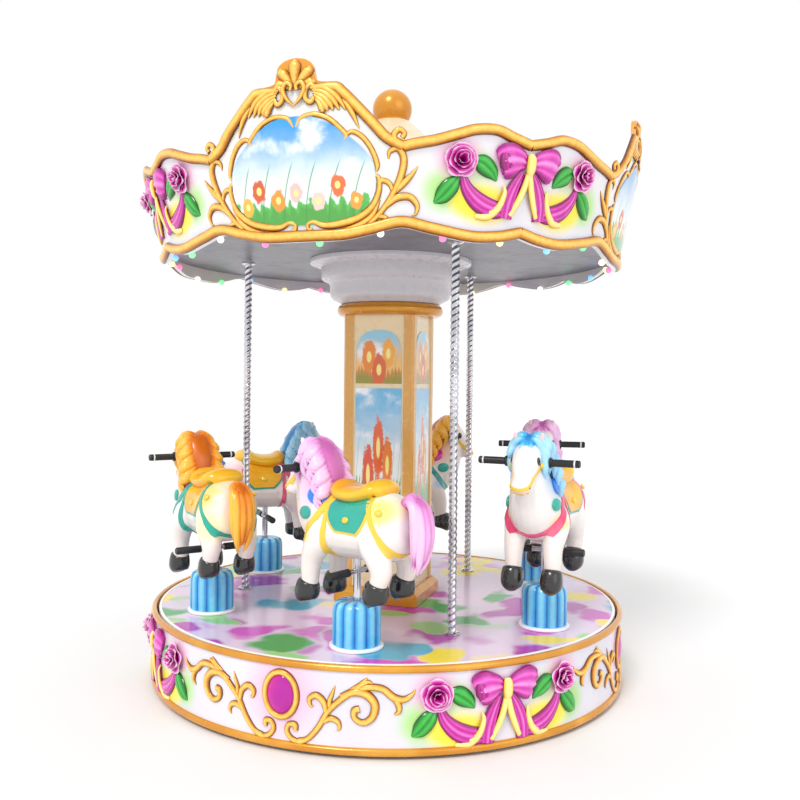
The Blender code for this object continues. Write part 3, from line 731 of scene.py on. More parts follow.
def make_platform():
    """The painted platform, with a pale metal edge round it."""
    foot = low("platform").z
    deck_radius = PLATFORM_RADIUS - 0.004
    deck_top = FLOOR - 0.001
    deck = [(0, foot), (deck_radius, foot), (deck_radius, FLOOR - 0.004),
            (deck_radius - 0.001, deck_top), (0, deck_top)]
    turned_piece("platform_deck", deck, floor_paint(), "turntable", ["platform"])
    band = [(PLATFORM_RADIUS - 0.012, deck_top), (deck_radius, foot + 0.002),
            (PLATFORM_RADIUS, foot + 0.002), (PLATFORM_RADIUS, FLOOR - 0.002),
            (PLATFORM_RADIUS - 0.002, FLOOR), (PLATFORM_RADIUS - 0.012, FLOOR)]
    pale = plain_finish("platform_edge_pale", (0.92, 0.90, 0.86), 0.3)
    turned_piece("platform_edge", band, pale, "turntable")


def make_column():
    """Paint for the column's shaft and plinth, and its turned gold ring and stepped capital."""
    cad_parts["column_shaft"].data.materials[0] = column_paint()
    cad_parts["column_plinth"].data.materials[0] = GOLD_PLAIN
    foot, top = low("column_ring").z, high("column_ring").z
    bead = (top - foot) / 2
    middle = RING_RADIUS - bead
    section = [(0, foot), (middle, foot), *arc(middle, foot + bead, bead, -75, 75, 11),
               (middle, top), (0, top)]
    turned_piece("column_ring_gold", section, GOLD_PLAIN, "turntable", ["column_ring"], 96)

    foot, top = low("column_capital").z, high("column_capital").z
    cove = smooth_path([(0.235, foot), (0.252, foot + 0.012), (0.283, foot + 0.030),
                        (0.291, foot + 0.055)], 5)
    shoulder = smooth_path([(0.292, foot + 0.090), (0.302, foot + 0.104), (0.328, foot + 0.116),
                            (0.335, foot + 0.135)], 5)
    lip = [(0.335, top - 0.034), (0.352, top - 0.030), (0.378, top - 0.022), (0.388, top - 0.018),
           (0.390, top - 0.012), (0.390, top)]
    section = [(0, foot), *map(tuple, cove), *map(tuple, shoulder), *lip, (0, top)]
    stone = plain_finish("capital_white", (0.62, 0.60, 0.63), 0.28, coat=0.1, mottle=0.015)
    turned_piece("column_capital_white", section, stone, "turntable",
                 ["column_capital"], 112)


def make_ceiling():
    under, over = low("ceiling").z, high("ceiling").z
    reach = high("ceiling").x
    section = [(0, under), (reach * 0.5, under), (reach, under), (reach, over), (0, over)]
    grey = plain_finish("ceiling_grey", (0.15, 0.145, 0.18), 0.35, coat=0.0, mottle=0.05,
                        second=(0.105, 0.10, 0.135))
    turned_piece("ceiling_panel", section, grey, "turntable", ["ceiling"])


def make_roof():
    """The ogee roof, and the gold ball on its collar."""
    neck, steepening = 0.09, 2.2
    foot = low("roof").z
    edge = high("roof").x
    rise = ROOF_TOP - ROOF_EDGE_HEIGHT
    outside = [(edge + (neck - edge) * share, ROOF_EDGE_HEIGHT + rise * share ** steepening)
               for share in np.linspace(0, 1, 25)]
    cream = plain_finish("roof_cream", (0.80, 0.66, 0.46), 0.3, mottle=0.05,
                         second=(0.74, 0.56, 0.36))
    turned_piece("roof_shell", [(0, foot), (edge, foot), *outside, (0, ROOF_TOP)], cream,
                 "turntable", ["roof"])

    radius = high("finial_ball").x
    foot = low("finial_ball").z
    section = [(0, foot), (0.078, foot), (0.078, foot + 0.010), (0.074, foot + 0.014),
               *arc(0, BALL_TOP - radius, radius, -38, 84, 20), (0, BALL_TOP)]
    turned_piece("finial_ball_gold", section, GOLD_PLAIN, "turntable", ["finial_ball"], 96)


# Canopy panels

def edge_line(table):
    """A wavy edge as smooth rows of (degrees, height above the canopy's foot)."""
    return smooth_path(table, 5)


def make_canopy_walls():
    """Four white panels with the smooth crowned outline, 22 mm thick."""
    crown, lower = edge_line(CROWN_EDGE), edge_line(LOWER_EDGE)
    shell = canopy_shell()
    seam = 45 - 0.008
    bearings = sorted({-seam, seam, *range(-44, 45),
                       *(side * angle for angle, _ in CROWN_EDGE[1:5] for side in (-1, 1))})
    levels = 14
    for k, quarter in enumerate(QUARTERS):
        rings = []
        for bearing in bearings:
            top = CANOPY_FOOT + np.interp(abs(bearing), crown[:, 0], crown[:, 1])
            foot = CANOPY_FOOT + np.interp(abs(bearing), lower[:, 0], lower[:, 1])
            heights = np.linspace(foot, top, levels)
            radius = canopy_radius(heights)
            angle = radians(bearing + quarter)
            outer = np.column_stack([radius * sin(angle), -radius * cos(angle), heights])
            radius = radius[::-1] - CANOPY_THICKNESS
            inner = np.column_stack([radius * sin(angle), -radius * cos(angle), heights[::-1]])
            rings.append(np.vstack([outer, inner]))
        name = f"canopy_panel_{k + 1}"
        piece(name, faces_outward(skin(name, rings)), shell, "turntable",
              [f"fascia_{k + 1}"])


# Raised ornaments: strokes with a section

STROKES = stroke_tree()
SECTION_POINTS = 11
THINNEST = 0.0009


def section_object(name, ridge, shape):
    """A closed section curve for strokes: half width 1, its outer side given by a formula."""
    across = -np.cos(np.linspace(0, pi, SECTION_POINTS))
    curve = new_curve(name)
    outline = [(x, ridge * shape(x)) for x in across] + [(0.85, -0.25), (-0.85, -0.25)]
    add_line(curve, [(x, -out, 0) for x, out in outline], closed=True)
    return put(name, curve)


def half_round(x):
    return max(1 - x * x, 0) ** 0.5


def leaf_blade(x):
    return max(1 - x * x, 0) ** 0.7 * (1 - 0.45 * np.exp(-(x / 0.16) ** 2))


def folded_cloth(x):
    return max(1 - x ** 4, 0) ** 0.5 * (0.78 + 0.22 * cos(4 * pi * x))


SECTIONS = {
    "scroll": (0.85, half_round),
    "leaf": (0.42, leaf_blade),
    "cloth": (0.42, folded_cloth),
    "band": (0.50, half_round),
}


def drawn(name, strokes, section, mirrored=True, steps=6):
    """Flat strokes, each (along, up, half width, optional lift) rows, swept as one mesh."""
    ridge, shape = SECTIONS[section]
    profile = section_object(name + "_section", ridge, shape)
    curve = new_curve(name)
    for stations in strokes:
        path = smooth_path([(*station, 0.0)[:4] for station in stations], steps)
        on_the_middle = not path[:, 0].any()
        for side in (1, -1) if mirrored and not on_the_middle else (1,):
            add_line(curve, [(side * along, up, lift, max(half_width, THINNEST))
                             for along, up, half_width, lift in path])
    mesh = grown(name, curve, STROKES, {"Section": profile, "Ridge": ridge,
                                        "Finish": GOLD_RELIEF})
    bpy.data.objects.remove(profile)
    return mesh


def ornament(name, strokes, section, finish, wall, bearings, body, mirrored=True):
    mesh = laid(drawn(name, strokes, section, mirrored), wall, bearings)
    piece(name, mesh, finish, body, sharp_above=60)


def gem_scrolls():
    """The gold branch beside a gem: (along from the gem, height, half width)."""
    branch = mm((75, 50, 10), (110, 60, 11), (150, 105, 12), (185, 165, 12), (235, 215, 13),
                (285, 250, 12), (312, 278, 9), (330, 296, 3))
    foot_curl = mm((120, 68, 10), (85, 47, 11), (50, 52, 11), (28, 78, 11), (36, 104, 11),
                   (60, 106, 12), (63, 86, 11))
    great_curl = mm((235, 225, 12), (285, 244, 16), (330, 235, 17), (358, 200, 17),
                    (350, 156, 15), (318, 134, 13), (286, 148, 12), (284, 176, 14),
                    (303, 183, 13))
    long_leaf = mm((275, 244, 8), (330, 262, 13), (385, 258, 14), (425, 228, 15), (462, 220, 13),
                   (492, 236, 8), (505, 256, 2))
    leaf_lobe = mm((405, 243, 8), (438, 212, 13), (446, 180, 11), (430, 164, 4))
    hooked_leaf = mm((270, 252, 6), (305, 270, 10), (335, 282, 8), (352, 272, 2))
    inner_curl = mm((180, 160, 9), (170, 200, 13), (142, 222, 13), (116, 208, 11), (120, 184, 7),
                    (132, 180, 3))
    spike = mm((192, 170, 7), (192, 205, 10), (203, 236, 7), (212, 262, 2))
    outer_curl = mm((165, 125, 8), (195, 142, 12), (222, 134, 11), (230, 112, 8), (222, 98, 3))
    return [branch, foot_curl, great_curl, long_leaf, leaf_lobe, hooked_leaf, inner_curl, spike,
            outer_curl]


def flank_scrolls():
    """The gold sprig between a picture and the roses, heights from the canopy's foot."""
    stem = mm((255, 48, 9), (300, 88, 11), (345, 150, 12), (378, 220, 14), (388, 280, 14),
              (368, 315, 12), (338, 305, 9), (334, 280, 3))
    spike = mm((352, 160, 8), (388, 196, 13), (418, 228, 9), (440, 258, 2))
    outer_curl = mm((318, 110, 9), (365, 146, 14), (412, 150, 14), (440, 122, 11), (436, 92, 6),
                    (420, 86, 2))
    inner_curl = mm((352, 165, 7), (338, 196, 10), (312, 206, 10), (297, 190, 7), (306, 174, 3))
    low_leaf = mm((290, 80, 7), (322, 78, 10), (345, 56, 3))
    return [stem, spike, outer_curl, inner_curl, low_leaf]


def frame_bars():
    """The gold bars round a picture, heights from the canopy's foot."""
    top_arc = mm((4, 398, 6), (26, 430, 9), (72, 440, 10), (122, 424, 10), (162, 390, 10),
                 (186, 362, 9), (176, 346, 5))
    shoulder = mm((178, 356, 5), (205, 374, 9), (242, 356, 10), (275, 312, 10), (294, 262, 10),
                  (290, 238, 5))
    side = mm((280, 226, 4), (299, 216, 9), (300, 170, 11), (276, 116, 13), (222, 76, 14),
              (150, 56, 14), (90, 52, 12), (50, 66, 9), (26, 58, 8), (28, 40, 8), (44, 40, 6))
    foot_bar = mm((302, 140, 5), (274, 84, 11), (212, 44, 13), (120, 20, 14), (46, 12, 13),
                  (10, 26, 10))
    return [top_arc, shoulder, side, foot_bar]


def crown_bars():
    """The mouldings along the crowned top edge and the wavy lower edge of a panel."""
    def along(table, first, half_width):
        return [(radians(angle) * CANOPY_REFERENCE, height, half_width, 0.002)
                for angle, height in table if angle >= first]

    inset = 0.019
    crown = [(a, up - inset, w, lift) for a, up, w, lift in along(CROWN_EDGE, 7.5, 0.020)]
    slope = [station for station in crown if station[0] < radians(20.5) * CANOPY_REFERENCE]
    wave = [station for station in crown if station[0] > radians(19.5) * CANOPY_REFERENCE]
    neck = (0.060, 0.536, 0.010, 0.002)
    volute = mm((388, 320, 12, 4), (362, 334, 12, 6), (352, 360, 12, 8), (370, 378, 11, 8),
                (388, 366, 10, 8), (380, 350, 10, 8))
    foot = [(a, up + inset, w, lift) for a, up, w, lift in along(LOWER_EDGE, 0, 0.021)]
    return [[neck, *slope], wave, volute, foot]


def crest_lobes():
    """The palmette of the crest: lobes, a heart below them, and a wing of ribs on each side."""
    lobes = []
    foot_up = 0.534
    for turn, reach, half_width in ((66, 0.078, 0.021), (34, 0.098, 0.023), (0, 0.110, 0.026)):
        tip_along, tip_up = reach * sin(radians(turn)), reach * cos(radians(turn))
        lobes.append([(0.0, foot_up, 0.004, -0.002),
                      (tip_along * 0.50, foot_up + tip_up * 0.46, half_width * 0.75, -0.003),
                      (tip_along * 0.92, foot_up + tip_up * 0.80, half_width, -0.006),
                      (tip_along, foot_up + tip_up, half_width * 0.35, -0.004)])
    heart = mm((0, 472, 3, 8), (26, 500, 8, 12), (40, 532, 10, 12), (28, 556, 10, 12),
               (10, 546, 9, 12), (12, 528, 6, 12))
    curl = mm((82, 524, 8, 4), (64, 546, 10, 6), (44, 528, 10, 8), (44, 496, 10, 8),
              (62, 482, 11, 6), (74, 500, 9, 6))
    wing = []
    for k in range(5):
        wing.append([(0.064 + 0.003 * k, 0.536 - 0.009 * k, 0.006, 0.003),
                     (0.104 - 0.002 * k, 0.532 - 0.015 * k, 0.012, 0.005),
                     (0.152 - 0.012 * k, 0.500 - 0.012 * k, 0.013, 0.005),
                     (0.184 - 0.021 * k, 0.452 - 0.001 * k, 0.004, 0.003)])
    blade = mm((168, 500, 5, 3), (205, 444, 11, 4), (232, 384, 2, 2))
    return [*lobes, heart, curl, *wing, blade]


def bow_strokes(knot):
    """Ribbons, leaves and tails round a bow whose knot is at this height."""
    def at(*stations):
        return [(along, knot + up, *rest) for along, up, *rest in mm(*stations)]

    loop = at((16, 4, 24, 6), (45, 10, 46, 10), (82, 8, 64, 10), (112, 0, 60, 4),
                 (122, -4, 40, 0))
    swag = at((262, -50, 12), (236, -105, 26), (186, -148, 36), (120, -168, 34),
                 (60, -158, 22))
    tail = at((24, -30, 14, 4), (52, -82, 26, 4), (72, -140, 32, 4), (78, -196, 30, 2))
    sash = at((200, -196, 10), (150, -192, 16, 4), (112, -160, 13, 12), (94, -108, 9, 14),
                 (98, -82, 3, 8))
    ribbon_end = at((4, -30, 10, 16), (14, -80, 13, 16), (32, -130, 13, 14), (60, -186, 10, 8))
    opening = at((-114, 40, 6, 18), (-110, 18, 22, 22), (-102, -12, 26, 22), (-98, -40, 8, 18))
    leaf_in = at((226, 2, 10), (190, -10, 34, 4), (150, -38, 28, 4), (126, -66, 4))
    leaf_out = at((276, -60, 10), (300, -92, 32, 4), (334, -132, 30, 4), (362, -156, 4))
    return {"loop": loop, "swag": swag, "tail": tail, "sash": sash, "ribbon_end": ribbon_end,
            "opening": opening, "leaves": [leaf_in, leaf_out]}


def knot_strokes(knot):
    return [[(0.0, knot + 0.036, 0.012, 0.016), (0.0, knot + 0.018, 0.019, 0.022),
             (0.0, knot - 0.020, 0.019, 0.022), (0.0, knot - 0.040, 0.012, 0.016)]]


def petal(turn, reach, height, width, curl):
    """One closed, cupped petal of a rose, with the distance to its rim in "rise"."""
    rows, across = 7, 6
    thick = 0.0016
    rings, rises = [], []
    for row in range(rows):
        t = row / (rows - 1)
        out = reach * (0.15 + 0.85 * t)
        level = height * sin(t * pi / 2) - curl * max(t - 0.65, 0) ** 2
        half = width * sin(pi * (0.12 + 0.72 * t)) ** 0.8
        front, back, shares = [], [], []
        for s in np.linspace(-1, 1, across):
            cup = level + 0.35 * height * s * s
            front.append((half * s, out * (1 - 0.12 * s * s), cup + thick))
            back.append((half * s * 0.98, out * (1 - 0.12 * s * s) * 0.99, cup - thick))
            shares.append(min(max(t ** 3, abs(s) ** 4 * (0.4 + 0.6 * t)), 1.0))
        rings.append(front + back[::-1])
        rises.append(shares + shares[::-1])
    rings = np.array(rings)
    spin = radians(turn)
    x = rings[..., 0] * cos(spin) - rings[..., 1] * sin(spin)
    y = rings[..., 0] * sin(spin) + rings[..., 1] * cos(spin)
    mesh = skin("petal", np.stack([x, y, rings[..., 2]], axis=-1))
    return with_mark(mesh, "rise", np.ravel(rises))


def rose(radius):
    """A rose of three rings of petals round a bud."""
    petals = []
    rings = ((5, 1.0, 0.26, 0.62, 0.5, 0), (5, 0.76, 0.42, 0.50, 0.4, 36),
             (4, 0.50, 0.56, 0.38, 0.2, 10), (3, 0.27, 0.66, 0.27, 0.0, 40))
    for count, reach, height, width, curl, start in rings:
        for k in range(count):
            petals.append(petal(start + k * 360 / count, reach * radius, height * radius,
                                width * radius, curl * radius))
    return joined("rose", petals)


ROSE_RADIUS = 0.063
ROSE_PLACE = (0.272, -0.006)


def roses(name, knot, wall, bearings, body):
    """A rose at each end of every bow on a wall."""
    both = []
    for side in (-1, 1):
        flower = rose(ROSE_RADIUS)
        place = (side * ROSE_PLACE[0], knot + ROSE_PLACE[1], 0)
        both.append(moved_points(flower, points_of(flower) + place))
    piece(name, laid(joined(name, both), wall, bearings), PETAL, body, sharp_above=80)


def make_bows(where, knot, wall, bearings, body):
    """All the bows, swags, leaves and roses of one wall."""
    parts = bow_strokes(knot)
    sets = (("bow_loops", [parts["loop"]], "cloth", PINK_LOOP),
            ("swags", [parts["swag"], parts["tail"]], "cloth", MAGENTA),
            ("sashes", [parts["sash"], parts["ribbon_end"]], "band", YELLOW),
            ("rose_leaves", parts["leaves"], "leaf", LEAF_GREEN))
    for label, strokes, section, finish in sets:
        ornament(f"{where}_{label}", strokes, section, finish, wall, bearings, body)
    ornament(f"{where}_bow_knots", knot_strokes(knot), "band", YELLOW, wall, bearings, body,
             mirrored=False)
    ornament(f"{where}_bow_openings", [parts["opening"]], "cloth", SHADED_PLEATS, wall, bearings, body,
             mirrored=False)
    roses(f"{where}_roses", knot, wall, bearings, body)


def oval_ring(half_along, half_up, half_width, ridge, middle):
    """A flat drawing of a closed oval moulding with a half-round section."""
    rings, rises = [], []
    for turn in np.linspace(0, tau, 49)[:-1]:
        ring = []
        for lean in np.linspace(0, pi, 8):
            shift = half_width * cos(lean)
            ring.append(((half_along + shift) * cos(turn), middle + (half_up + shift) * sin(turn),
                         ridge * sin(lean)))
            rises.append(sin(lean))
        rings.append(ring)
    count, across = len(rings), len(rings[0])
    faces = []
    for row in range(count):
        for k in range(across):
            k_next, row_next = (k + 1) % across, (row + 1) % count
            faces.append((row * across + k, row_next * across + k,
                          row_next * across + k_next, row * across + k_next))
    mesh = mesh_from("oval_ring", np.array(rings).reshape(-1, 3), faces)
    return faces_outward(with_mark(mesh, "rise", rises))


def cabochon(half_along, half_up, ridge, middle):
    """A flat drawing of a domed oval stone."""
    rings = [[(0, middle, -0.002)] * 40]
    for lean in np.linspace(0, pi / 2, 9):
        size = cos(lean)
        rings.append([(half_along * size * cos(turn), middle + half_up * size * sin(turn),
                       ridge * sin(lean)) for turn in np.linspace(0, tau, 41)[:-1]])
    return faces_outward(skin("cabochon", rings, capped=False))


def make_drum_ornaments():
    gems = [FIRST_GEM + quarter for quarter in QUARTERS]
    bows = [FIRST_BOW + quarter for quarter in QUARTERS]
    ornament("drum_scrolls", gem_scrolls(), "scroll", GOLD_RELIEF, on_drum, gems, "base")
    ring = laid(oval_ring(0.065, 0.082, 0.013, 0.012, GEM_HEIGHT), on_drum, gems)
    piece("gem_rings", ring, GOLD_RELIEF, "base")
    stone = laid(cabochon(0.056, 0.073, 0.017, GEM_HEIGHT), on_drum, gems)
    piece("gems", stone, GEM, "base")
    make_bows("drum", BOW_ON_DRUM, on_drum, bows, "base")


def plate(rows, lift, thick=0.004, across=13):
    """A thin plate with curved sides: rows of (height, half width); "panel" holds its place."""
    outline = smooth_path(rows, 4)
    foot, top = outline[0][0], outline[-1][0]
    widest = max(half for _, half in rows)
    shares = np.linspace(-1, 1, across)
    rings, places = [], []
    for up, half in outline:
        front = [(half * share, up, lift) for share in shares]
        back = [(half * share, up, lift - thick) for share in shares[::-1]]
        rings.append(front + back)
        place = [(half * share / widest, (up - foot) / (top - foot), 0) for share in shares]
        places += place + place[::-1]
    return with_mark(skin("plate", rings), "panel", places)


def make_canopy_ornaments():
    bows = [CANOPY_BOW + quarter for quarter in QUARTERS]
    gold = (("canopy_mouldings", crown_bars()), ("crests", crest_lobes()),
            ("picture_frames", frame_bars()), ("canopy_sprigs", flank_scrolls()))
    for name, strokes in gold:
        ornament(name, strokes, "scroll", GOLD_RELIEF, on_canopy, QUARTERS, "turntable")
    make_bows("canopy", BOW_ON_CANOPY, on_canopy, bows, "turntable")

    scene_rows = ((0.056, 0.08), (0.075, 0.19), (0.115, 0.255), (0.165, 0.285), (0.225, 0.287),
                  (0.275, 0.275), (0.325, 0.235), (0.365, 0.185), (0.400, 0.135),
                  (0.428, 0.075), (0.436, 0.03))
    blooms = (((-0.58, 0.34), 0.11, (0.66, 0.10, 0.02)), ((-0.30, 0.24), 0.10, (0.82, 0.30, 0.03)),
              ((-0.78, 0.20), 0.09, (0.86, 0.46, 0.05)), ((-0.04, 0.30), 0.09, (0.86, 0.52, 0.48)),
              ((0.26, 0.22), 0.09, (0.84, 0.60, 0.52)), ((0.52, 0.36), 0.10, (0.78, 0.16, 0.04)),
              ((0.76, 0.22), 0.08, (0.84, 0.34, 0.05)))
    art = picture("canopy_picture_paint", (0.02, 0.32, 0.74), (0.80, 0.88, 0.90),
                  (0.10, 0.48, 0.08), blooms, 1)
    pictures = laid(plate(scene_rows, 0.005), on_canopy, QUARTERS)
    piece("canopy_pictures", pictures, art, "turntable")


def make_column_pictures():
    upper = ((1.358, 0.112), (1.42, 0.112), (1.48, 0.112), (1.545, 0.104), (1.590, 0.072),
             (1.606, 0.025))
    lower = ((0.760, 0.112), (0.90, 0.112), (1.05, 0.112), (1.20, 0.112), (1.336, 0.112))
    warm = picture("column_upper_paint", (0.30, 0.62, 0.80), (0.90, 0.52, 0.16),
                   (0.80, 0.26, 0.03), (((-0.42, 0.50), 0.30, (0.84, 0.24, 0.02)),
                                        ((0.42, 0.56), 0.28, (0.90, 0.40, 0.05)),
                                        ((0.02, 0.26), 0.30, (0.72, 0.12, 0.02))), 2)
    cool = picture("column_lower_paint", (0.16, 0.50, 0.80), (0.86, 0.90, 0.88),
                   (0.08, 0.46, 0.06), (((-0.42, 0.30), 0.24, (0.74, 0.08, 0.02)),
                                        ((0.42, 0.38), 0.22, (0.84, 0.22, 0.04)),
                                        ((0.02, 0.52), 0.24, (0.80, 0.12, 0.02))), 5)
    for name, rows, art in (("column_upper_pictures", upper, warm),
                            ("column_lower_pictures", lower, cool)):
        mesh = laid(plate(rows, 0.003), on_column, QUARTERS)
        piece(name, mesh, art, "turntable")


# Poles, pedestals and lamps

def twist_tree():
    """A bar whose lobed section turns as it goes up."""
    tree, start, end = new_tree("twisted_bar", [("Section", "Object"), ("Spacing", "Float"),
                                                ("Pitch", "Float"), ("Finish", "Material")])
    section = step(tree, "GeometryNodeObjectInfo", Object=start.outputs["Section"])
    fine = step(tree, "GeometryNodeResampleCurve", {"mode": "LENGTH"},
                Curve=start.outputs["Geometry"], Length=start.outputs["Spacing"])
    place = step(tree, "GeometryNodeInputPosition")
    parts = step(tree, "ShaderNodeSeparateXYZ", Vector=place.outputs[0])
    turns = step(tree, "ShaderNodeMath", {"operation": "DIVIDE"}, _0=parts.outputs["Z"],
                 _1=start.outputs["Pitch"])
    angle = step(tree, "ShaderNodeMath", {"operation": "MULTIPLY"}, _0=turns.outputs[0], _1=tau)
    tilted = step(tree, "GeometryNodeSetCurveTilt", Curve=fine.outputs[0], Tilt=angle.outputs[0])
    swept = step(tree, "GeometryNodeCurveToMesh", Curve=tilted.outputs[0],
                 Profile_Curve=section.outputs["Geometry"], Fill_Caps=True)
    finish_tree(tree, swept.outputs[0], start.outputs["Finish"], end)
    return tree


ROPE_RADIUS = 0.0172
ROPE_LOBES = 2
ROPE_DEPTH = 0.0018
ROPE_PITCH = 0.055
ROPE_SPACING = 0.005


def rope_section():
    """A closed section with as many low lobes as the rope has strands."""
    curve = new_curve("pole_section")
    points = []
    for angle in np.arange(20) * tau / 20:
        reach = ROPE_RADIUS + ROPE_DEPTH * cos(ROPE_LOBES * angle)
        points.append((reach * cos(angle), reach * sin(angle), 0))
    add_line(curve, points, closed=True)
    return put("pole_section", curve)


def make_poles():
    """Three chromed poles with a rope twist, between round flanges."""
    foot, top = low("pole_1").z, high("pole_1").z
    lines = new_curve("pole_lines")
    ends = []
    for k in range(POLES):
        x, y, _ = on_ring(POLE_RING, FIRST_POLE + k * 360 / POLES)
        add_line(lines, [(x, y, foot + 0.004), (x, y, top - 0.004)])
        for level, sign in ((foot, 1), (top, -1)):
            rim = [(0, 0), (0.034, 0), (0.034, 0.005), (0.030, 0.008), (0.021, 0.012), (0, 0.012)]
            section = [(radius, level + sign * rise) for radius, rise in rim]
            ends.append(turned("flange", section, 40, (x, y, 0)))
    section = rope_section()
    twisted = grown("pole_twist", lines, twist_tree(), {
        "Section": section, "Spacing": ROPE_SPACING, "Pitch": ROPE_PITCH, "Finish": CHROME})
    bpy.data.objects.remove(section)
    piece("twisted_poles", joined("twisted_poles", [twisted, *ends]), CHROME, "turntable",
          [f"pole_{k + 1}" for k in range(POLES)], sharp_above=50)


def pedestal_finish():
    """Deep blue in the flutes as painted shade, light cyan on their ridges as a painted highlight.
    """
    return relief_finish("pedestal_blue", (0.01, 0.13, 0.50), (0.05, 0.42, 0.80),
                         (0.42, 0.85, 0.98))


def pedestal(place, bore):
    """One pedestal: a fluted drum with a rounded shoulder, hollow for its lift rod."""
    sides, flutes, depth = 96, 12, 0.007
    top, radius = 0.18, 0.096
    outline = [(0.70, 0.005), (0.985, 0.010), (1.0, 0.022), (1.0, 0.060), (1.0, 0.105),
               (0.995, 0.140), (0.965, 0.158), (0.90, 0.170), (0.80, 0.177), (0.62, top)]
    rings, rises = [], []
    for share, height in outline:
        depth_here = depth * (1.0 if share > 0.95 else 0.45)
        ring = []
        for k in range(sides):
            angle = tau * k / sides
            ridge = abs(cos(angle * flutes / 2)) ** 0.7
            reach = radius * share - depth_here * (1 - ridge)
            ring.append((reach * cos(angle), reach * sin(angle), height))
            # Ridges on the shoulder and top get more rise: a lighter painted highlight where light
            # falls from above
            rises.append(ridge * (0.75 if height < 0.17 else 0.9))
        rings.append(ring)
    # The bore gets a low rise: painted shade inside the hole
    for height in (top, 0.015):
        rings.append([(bore * cos(tau * k / sides), bore * sin(tau * k / sides), height)
                      for k in range(sides)])
        rises += [0.3] * sides
    mesh = skin("pedestal", np.array(rings) + np.array(place))
    return with_mark(mesh, "rise", rises)


def pony_place(k):
    """The foot of a pony's rod, on the platform."""
    return Vector(on_ring(PEDESTAL_RING, FIRST_PONY + k * 360 / PONIES, FLOOR))


def make_pedestals():
    bore = 0.0165
    drums = [pedestal(pony_place(k), bore) for k in range(PONIES)]
    piece("pedestals", joined("pedestals", drums), pedestal_finish(), "turntable",
          [f"pedestal_{k + 1}" for k in range(PONIES)])
    section = [(0.060, 0.0003), (0.1060, 0.0003), (0.1075, 0.004), (0.106, 0.009),
               (0.100, 0.012), (0.060, 0.012)]
    rings = [turned("flange", section, 80, pony_place(k)) for k in range(PONIES)]
    white = plain_finish("pedestal_flange_white", (0.93, 0.92, 0.95), 0.22)
    piece("pedestal_flanges", joined("pedestal_flanges", rings), white, "turntable")


def lamp_tree():
    """A lamp on every point, each with its own number in "lamp"."""
    tree, start, end = new_tree("row_of_lamps", [("Colours", "Float"), ("Bulb", "Float"),
                                                 ("Finish", "Material")])
    index = step(tree, "GeometryNodeInputIndex")
    cycle = step(tree, "ShaderNodeMath", {"operation": "MODULO"}, _0=index.outputs[0],
                 _1=start.outputs["Colours"])
    share = step(tree, "ShaderNodeMath", {"operation": "DIVIDE"}, _0=cycle.outputs[0],
                 _1=start.outputs["Colours"])
    marked = step(tree, "GeometryNodeStoreNamedAttribute", {"data_type": "FLOAT"},
                  Geometry=start.outputs["Geometry"], Name="lamp", Value=share.outputs[0])
    bulb = step(tree, "GeometryNodeMeshUVSphere", Segments=12, Rings=8,
                Radius=start.outputs["Bulb"])
    placed = step(tree, "GeometryNodeInstanceOnPoints", Points=marked.outputs[0],
                  Instance=bulb.outputs[0])
    finish_tree(tree, placed.outputs[0], start.outputs["Finish"], end)
    return tree


LAMPS = 28
LAMP_RADIUS = 0.014
LAMP_INSET = 0.010
FIRST_LAMP = 3
LAMP_COLOURS = 5.0


def make_lamps():
    """Small coloured lamps just inside the canopy's wavy lower edge."""
    glow = bulb_glow()
    lower = edge_line(LOWER_EDGE)
    places = []
    for k in range(LAMPS):
        bearing = 360 * k / LAMPS + FIRST_LAMP
        from_quarter = abs((bearing + 45) % 90 - 45)
        height = CANOPY_FOOT + np.interp(from_quarter, lower[:, 0], lower[:, 1])
        reach = canopy_radius(height) - CANOPY_THICKNESS - LAMP_INSET
        places.append(on_ring(reach, bearing, height - 0.002))
    mesh = grown("canopy_lamps", mesh_from("lamp_places", places, []), lamp_tree(),
                 {"Colours": LAMP_COLOURS, "Bulb": LAMP_RADIUS, "Finish": glow})
    piece("canopy_lamps", mesh, glow, "turntable")


# Ponies, each made in its own frame: x ahead, z up from the platform, both from the lift rod

ROD_FOOT = 0.07
ROD_RADIUS = 0.015
ROD_TOP = 0.40
PEG_HEIGHT = 0.308
PEG_REACH = 0.17
PEG_RADIUS = 0.016
PEG_INNER = 0.055
BAR_AHEAD = 0.245
BAR_HEIGHT = 0.70
BAR_REACH = 0.21
BAR_RADIUS = 0.010
GRIP_LENGTH = 0.115
GRIP_RADIUS = 0.0155
GRIP_FLANGE = 0.022
GRIP_RINGS = 14
LEG_APART = 0.082
HOOF_HEIGHT = 0.080
FRONT_SOLE = 0.178
HIND_SOLE = 0.212
VOXEL = 0.0068


def limb(stations, sides=22, steps=6):
    """A smooth tube through (x, y, z, half width, half depth) in an upright plane."""
    rows = smooth_path(stations, steps)
    centres = rows[:, :3]
    ahead = np.gradient(centres, axis=0)
    depth = np.cross(ahead, (0, 1, 0))
    depth /= np.linalg.norm(depth, axis=1)[:, None]
    turn = np.arange(sides) * tau / sides
    width = np.maximum(rows[:, 3], 0.002)[:, None, None] * np.cos(turn)[None, :, None]
    height = np.maximum(rows[:, 4], 0.002)[:, None, None] * np.sin(turn)[None, :, None]
    rings = centres[:, None, :] + width * np.array((0, 1, 0)) + height * depth[:, None, :]
    return faces_outward(skin("limb", rings))


def ball(centre, radii, rows=10, sides=20):
    """An egg round a centre."""
    section = [(cos(lean), sin(lean)) for lean in np.linspace(-pi / 2, pi / 2, rows)]
    section[0], section[-1] = (0, -1), (0, 1)
    mesh = turned("ball", section, sides)
    return moved_points(mesh, points_of(mesh) * np.array(radii) + np.array(centre))


